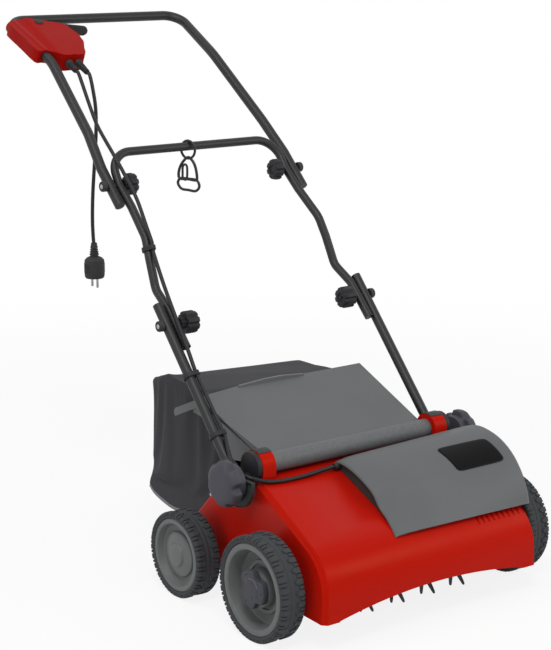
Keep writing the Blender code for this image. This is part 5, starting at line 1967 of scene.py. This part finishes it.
@dataclass
class Bag:
    """The cloth bag, which hangs from its wire frame and sags."""

    outline: tuple[Point, ...] = (
        (0.130, 0.106, 0.0),
        (0.130, 0.297, 0.0),
        (0.196, 0.3185, 0.010),
        (0.222, 0.330, 0.015),
        (0.330, 0.3375, 0.040),
        (0.3850, 0.322, 0.016),
        (0.3800, 0.097, 0.020),
        (0.309, 0.080, 0.030),
        (0.185, 0.095, 0.010),
        (0.176, 0.106, 0.006),
    )
    half: float = 0.1585
    widest: float = 0.1615
    cell: float = 0.0065
    cloth: float = 0.0016
    frames: int = 24
    most: float = 0.008
    lift: float = 0.004
    mass: float = 0.25
    stretch: float = 12.0
    shear: float = 4.0
    bending: float = 2.5
    slack: float = -0.020

    def build(self) -> None:
        """Makes the cloth, lets it sag, and adds the light tape along its lower edge."""
        bag = self.blank()
        self.settle(bag)
        thickened(bag, self.cloth)
        finished(applied(bag, "SUBSURF", levels=1), CLOTH, "bag", "collection_bag", crease=60)
        seam = (
            (0.3860, 0.1080), (0.3720, 0.0985), (0.3450, 0.0905), (0.3090, 0.0848), (0.2700, 0.0870)
        )
        edge = smooth([(-0.1540, y, z) for y, z in seam], 5)
        finished(tube("bag_piping_left", edge, 0.0052), PIPING, "bag", crease=60)
        dressed("bag_frame", STEEL)

    def blank(self) -> bpy.types.Object:
        """The sewn shape before it sags, remeshed and open at the mouth."""
        side = filleted(self.outline, closed=True)
        bag = bevelled(plate("bag_cloth_shell", side, -self.half, self.half), 0.010, 3, 60)
        for vertex in bag.data.vertices:
            x, y, z = vertex.co
            right, rear = kept((x - 0.03) / 0.12), kept((y - 0.28) / 0.09)
            high, low = kept((z - 0.20) / 0.10), kept((0.24 - z) / 0.12)
            vertex.co.z -= 0.020 * right**2 * high * (0.35 + 0.65 * rear)
            vertex.co.x -= 0.016 * right * high * rear
            vertex.co.y += 0.011 * (1 - high) * rear * low
        only(bag)
        bag.data.remesh_voxel_size = self.cell
        bpy.ops.object.voxel_remesh()
        edit("FACE")
        pick(bag, lambda middle, normal: middle.y < 0.1325 and 0.112 < middle.z < 0.291)
        bpy.ops.mesh.delete(type="FACE")
        leave()
        return bag

    def settle(self, bag: bpy.types.Object) -> None:
        """Runs the cloth simulation and keeps its result, with no point moved too far.

        Args:
            bag: The bag's mesh.
        """
        rest = [vertex.co.copy() for vertex in bag.data.vertices]
        held = bag.vertex_groups.new(name="held")
        for vertex in bag.data.vertices:
            y, z = vertex.co.y, vertex.co.z
            mouth = kept((0.150 - y) / 0.012)
            base = kept((0.118 - z) / 0.012) if y > 0.16 else 0.0
            high = z > 0.318 - max(0.0, 0.250 - y) * 0.35
            seam = 0.6 if high and abs(vertex.co.x) > self.half - 0.006 else 0.0
            held.add([vertex.index], max(mouth, base, seam), "REPLACE")
        cloth = bag.modifiers.new("Cloth", "CLOTH")
        settings = cloth.settings
        settings.quality = 6
        settings.mass = self.mass
        settings.tension_stiffness = settings.compression_stiffness = self.stretch
        settings.shear_stiffness = self.shear
        settings.bending_stiffness = self.bending
        settings.vertex_group_mass = held.name
        settings.shrink_min = self.slack
        cloth.collision_settings.use_collision = False
        cloth.collision_settings.use_self_collision = False
        scene = bpy.context.scene
        for frame in range(1, self.frames + 1):
            scene.frame_set(frame)
        only(bag)
        bpy.ops.object.modifier_apply(modifier=cloth.name)
        scene.frame_set(1)
        for vertex, before in zip(bag.data.vertices, rest):
            step = vertex.co - before
            if step.length > 1e-9:
                length = self.most * math.tanh(step.length / self.most)
                vertex.co = before + step.normalized() * length
            vertex.co.x = min(max(vertex.co.x, -self.widest), self.widest)
            vertex.co.z = min(vertex.co.z, before.z + self.lift)
        bag.vertex_groups.clear()


@dataclass
class Handle:
    """The tubes of the handle with their clamps."""

    upper_radius: float = 0.0095
    middle_radius: float = 0.008
    bar_radius: float = 0.009
    bar_x: float = 0.2222
    upper_x: float = 0.2064

    def build(self) -> None:
        """Makes the tubes, bolts and star knobs."""
        upper = [
            (self.upper_x, 0.394, 0.637, 0), (self.upper_x, 0.455, 0.697, 0.05),
            (0.1975, 0.514, 0.755, 0.12), (0.185, 0.663, 0.876, 0.10), (0.200, *GRIP, 0.035),
        ]
        middle = [
            (0.2044, 0.1886, 0.416, 0), (0.2044, 0.2438, 0.4735, 0.03),
            (0.2012, 0.2887, 0.501, 0.03), (0.1984, 0.312, 0.552, 0.06),
            (0.1944, 0.330, 0.588, 0.05), (0.1881, 0.385, 0.6352, 0.05),
            (0.1881, *UPPER_PIVOT, 0.04), (0.1851, *CROSSBAR, 0.045),
        ]
        for name, half, radius in (
            ("upper_handle", upper, self.upper_radius),
            ("middle_handle", middle, self.middle_radius),
        ):
            path = [(-x, y, z, r) for x, y, z, r in half] + list(reversed(half))
            bow = tube(f"{name}_tube", filleted(path, step=5), radius, resolution=7)
            finished(bow, PAINT, name, name, crease=50)
        for side in Side:
            x = side.value * self.bar_x
            path = [(x, 0.2515, 0.483, 0), (x, 0.047, 0.2535, 0.03), (x, *BASE_PIVOT, 0)]
            bar = tube(
                f"lower_bar_{side.word}_tube", filleted(path, step=5), self.bar_radius, resolution=7
            )
            boss = rod(0.2129, 0.2315, 0.0108, BASE_PIVOT, 48)
            hole = rod(0.20, 0.25, STUD_HOLE, BASE_PIVOT, 32)
            for piece, operation in ((boss, "UNION"), (hole, "DIFFERENCE")):
                piece.data.transform(side.flip)
                combined(bar, tidied(piece), operation)
            finished(bar, PAINT, "lower_bars", f"lower_bar_{side.word}", crease=50)
            bolt = (0.1614, self.bar_x + self.bar_radius)
            self.clamp(side, "lower", LOWER_PIVOT, (0.1959, 0.1629), bolt, "lower_bars")
            bolt = (0.1626, self.upper_x + self.upper_radius)
            self.clamp(side, "upper", UPPER_PIVOT, (0.1797, 0.1551), bolt, "upper_handle")

    def clamp(
        self, side: Side, level: str, pivot: Point, knob: Point, bolt: Point, body: str
    ) -> None:
        """A star knob and its bolt.

        Args:
            side: Which side.
            level: The joint: lower or upper.
            pivot: The joint's y and z.
            knob: Where the knob starts at the tube and where it ends.
            bolt: Where the bolt's tip is and where its head sits.
            body: The body that the bolt rides on.
        """
        ring = []
        for i in range(128):
            turn = 2 * math.pi * i / 128
            dip = max(0.0, math.cos(8 * turn) - 0.1) / 0.9
            radius = 0.020 - 0.0034 * dip
            ring.append((radius * math.cos(turn), radius * math.sin(turn)))
        face, end = knob
        depth = face - end
        levels = [
            (0.0, 0.48), (0.0078, 0.54), (0.0080, 0.90), (0.0090, 0.97), (0.0105, 1.0),
            (depth - 0.0060, 1.0), (depth - 0.0030, 0.965), (depth - 0.0012, 0.90), (depth, 0.78),
            (depth, 0.45), (depth - 0.002, 0.42),
        ]
        inwards = Matrix.Translation((face, *pivot)) @ Side.LEFT.flip @ ALONG_X
        star = stacked(f"star_{level}_{side.word}", ring, levels, side.flip @ inwards)
        name = f"{level}_star_knob_{side.word}"
        finished(star, STAR, name, name, crease=38)
        tip, seat = bolt
        seat += FIT
        name = f"{level}_bolt_{side.word}"
        cap = [
            (0.0090, 0), (0.0095, 0.0006), (0.0095, 0.0078), (0.0088, 0.0090), (0.0076, 0.0098),
            (0.0066, 0.0100), (0.0062, 0.0090), (0.0048, 0.0086), (0, 0.0084),
        ]
        profile = [(0, tip), (0.003, tip), (0.003, seat), *((r, seat + x) for r, x in cap)]
        head = spun(f"{name}_cap", [(r, side.value * x) for r, x in profile], pivot, 40)
        finished(head, BLACK_PLASTIC, body, name, crease=38)
        dome = [(0, 0.0080), (0.0044, 0.0080), (0.0044, 0.0092), (0.0030, 0.0101), (0, 0.0104)]
        profile = [(r, side.value * (seat + x)) for r, x in dome]
        centre = spun(f"{name}_centre", profile, pivot, 32)
        finished(centre, STEEL, body, crease=50)


@dataclass
class SwitchBox:
    """The red switch box with its lever and safety button."""

    outline: tuple[Point, ...] = (
        (-0.0115, 0.034),
        (0.0030, 0.0215),
        (0.0320, 0.0180),
        (0.0500, 0.0270),
        (0.0920, 0.0420),
        (0.1020, 0.052),
        (0.1100, 0.089),
        (0.1060, 0.118),
        (0.0840, BOX_END - 0.003),
        (0.0400, BOX_END - 0.002),
        (0.0200, 0.144),
        (-0.0050, 0.136),
    )
    thin: tuple[float, float, float] = (0.012, 0.0130, -0.0130)
    deep: tuple[float, float, float] = (0.040, 0.0165, -0.0180)
    button: tuple[float, float] = (0.050, 0.0371)
    button_low: float = 0.0072
    left_x: float = -0.200

    def build(self) -> None:
        """Makes the box and refines its moving pieces."""
        box = self.shell()
        for cutter in self.rooms():
            combined(box, cutter)
        pin = self.rod((0.028, 0.026), 0.0019, -0.0115, 0.0115)
        combined(box, pin, "UNION")
        finished(box, BOX_RED, "upper_handle", "switch_box", crease=34, weighted=True)
        lever = bevelled(node_copy("switch_lever", "switch_lever_blade"), 0.0009, 3, 40)
        finished(lever, BLACK_PLASTIC, "switch_lever", "switch_lever", crease=35)
        button = bevelled(self.rod(self.button, 0.0080, 0.0115, 0.0190), 0.0022, 4, 40)
        finished(button, BLACK_PLASTIC, "safety_button", "safety_button", crease=35)
        collar = self.rod(self.button, 0.0108, 0.0140, 0.0170)
        collar = combined(collar, self.rod(self.button, 0.0086, 0.0, 0.03))
        finished(bevelled(collar, 0.0006, 2, 40), BOX_RED, "upper_handle", crease=40)

    def placed(self) -> Matrix:
        """Turns the box's own plane into the machine: x from the left leg, y down the slope."""
        return HANDLE_PLANE @ Matrix.Translation((self.left_x, 0, 0))

    def shell(self) -> bpy.types.Object:
        """The pillow-shaped body, thin along the leg and deeper over the switch."""
        corners = [(x, -down) for x, down in self.outline]
        ring = []
        for i, corner in enumerate(corners):
            ring.append(corner)
            after = corners[(i + 1) % len(corners)]
            ring.append(((corner[0] + after[0]) / 2, (corner[1] + after[1]) / 2))
        box = plate("switch_box_shell", smooth(ring, 3, closed=True), -1, 1, FLAT)
        only(box)
        for i in range(5):
            bend = self.thin[0] + (self.deep[0] - self.thin[0]) * i / 4
            edit_all()
            bpy.ops.mesh.bisect(plane_co=(bend, 0, 0), plane_no=(1, 0, 0))
            leave()
        for vertex in box.data.vertices:
            share = eased(kept((vertex.co.x - self.thin[0]) / (self.deep[0] - self.thin[0])))
            level = 1 if vertex.co.z > 0 else 2
            vertex.co.z = self.thin[level] + (self.deep[level] - self.thin[level]) * share
        box = bevelled(box, 0.0075, 5, 60)
        ridge = tube("ridge", self.leg(0.022, 0.141), 0.0136, resolution=7)
        combined(box, ridge, "UNION")
        box.data.transform(self.placed())
        return tidied(box)

    def leg(self, start: float, end: float) -> list[tuple[float, float, float]]:
        """The handle's left leg in the box's own plane.

        Args:
            start: Where it starts, down from the grip.
            end: Where it ends.

        Returns:
            Its points.
        """
        low = self.placed().inverted() @ Vector((-0.185, 0.663, 0.876))
        downs = (start, (start + end) / 2, end)
        return [tuple(Vector((0, 0, 0)).lerp(low, down / low.length)) for down in downs]

    def rod(self, centre: Point, radius: float, low: float, high: float) -> bpy.types.Object:
        """A rod square to the box's plane.

        Args:
            centre: Its place from the left leg and down the slope.
            radius: Its radius.
            low: Where it starts, from the plane.
            high: Where it ends.

        Returns:
            The rod.
        """
        ring = arc((centre[0], -centre[1]), radius, 0, 352.5, 47)
        made = plate("rod", ring, low, high, FLAT)
        made.data.transform(self.placed())
        return made

    def rooms(self) -> list[bpy.types.Object]:
        """What is cut from the box: the leg's channel, the lever's slot and the button's pocket."""
        half = [
            (-0.1975, 0.514, 0.755, 0.12), (-0.185, 0.663, 0.876, 0.10), (-0.200, *GRIP, 0.035),
            (0.0, *GRIP, 0),
        ]
        channel = tube("channel", filleted(half, step=5), 0.0098, resolution=7)
        corners = [(0.018, -0.036), (0.050, -0.036), (0.050, 0.02), (0.018, 0.02)]
        slot = plate("slot", corners, -0.0103, 0.0103, FLAT)
        slot.data.transform(self.placed())
        return [channel, slot, self.rod(self.button, 0.0085, self.button_low, 0.04)]


@dataclass
class Hook:
    """The wire hook for the extension lead."""

    centre: tuple[float, float, float] = (-0.013, CROSSBAR[0], CROSSBAR[1] + 0.0083 - 0.0145)

    def build(self) -> None:
        """Makes the ring on the crossbar, the bow below it, its tongue and the lead's loop."""
        ring = arc((0, self.centre[2]), 0.0167, 0, 352.5, 47)
        bow = [
            (0, 0.7030), (-0.0120, 0.6945), (-0.0205, 0.6820), (-0.0238, 0.6690), (-0.0200, 0.6615),
            (0, 0.6618), (0.0175, 0.6610), (0.0212, 0.6660), (0.0180, 0.6840), (0.0110, 0.6965),
        ]
        loop = [
            (-0.0190, 0.6618), (0, 0.6624), (0.0200, 0.6612), (0.0265, 0.6500), (0.0175, 0.6408),
            (0, 0.6412), (-0.0170, 0.6424), (-0.0256, 0.6525),
        ]
        tongue = [
            (-0.0130, 0.6620), (-0.0138, 0.6720), (-0.0132, 0.6840), (-0.0080, 0.6890),
            (-0.0028, 0.6840), (-0.0040, 0.6620),
        ]
        pieces = [tube("wire", self.placed(ring), 0.0024, closed=True)]
        for points, steps, radius in ((bow, 6, 0.0027), (loop, 6, 0.0026), (tongue, 5, 0.0022)):
            bend = self.placed(smooth(points, steps, closed=True))
            pieces.append(tube("wire", bend, radius, closed=True))
        finished(joined("hook_wire", pieces), PAINT, "cable_hook", "cable_hook", crease=60)

    def placed(self, points: Sequence[Point]) -> list[tuple[float, ...]]:
        """Points of the hook's upright plane in the machine.

        Args:
            points: Sideways and height of each.

        Returns:
            The points.
        """
        sideways = Vector((0.28, -0.96, 0)).normalized()
        return [tuple(Vector((*self.centre[:2], z)) + sideways * h) for h, z in points]


def wheels() -> list[Wheel]:
    """The four wheels."""
    made: list[Wheel] = []
    for side in Side:
        made.append(FrontWheel(side=side))
        made.append(RearWheel(side=side))
    return made


def main() -> None:
    """Builds the studio and every sub-assembly."""
    logging.basicConfig(level=logging.INFO, format="%(message)s")
    FRAME.update(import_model())
    deselect()
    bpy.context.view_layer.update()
    Studio().build()
    Leads().build()
    for wheel in wheels():
        wheel.build()
    for side in Side:
        DepthKnob(side).build()
    for part in (Deck(), Hood(), Flap(), Bag(), Handle(), SwitchBox(), Hook()):
        part.build()


if __name__ == "__main__":
    main()
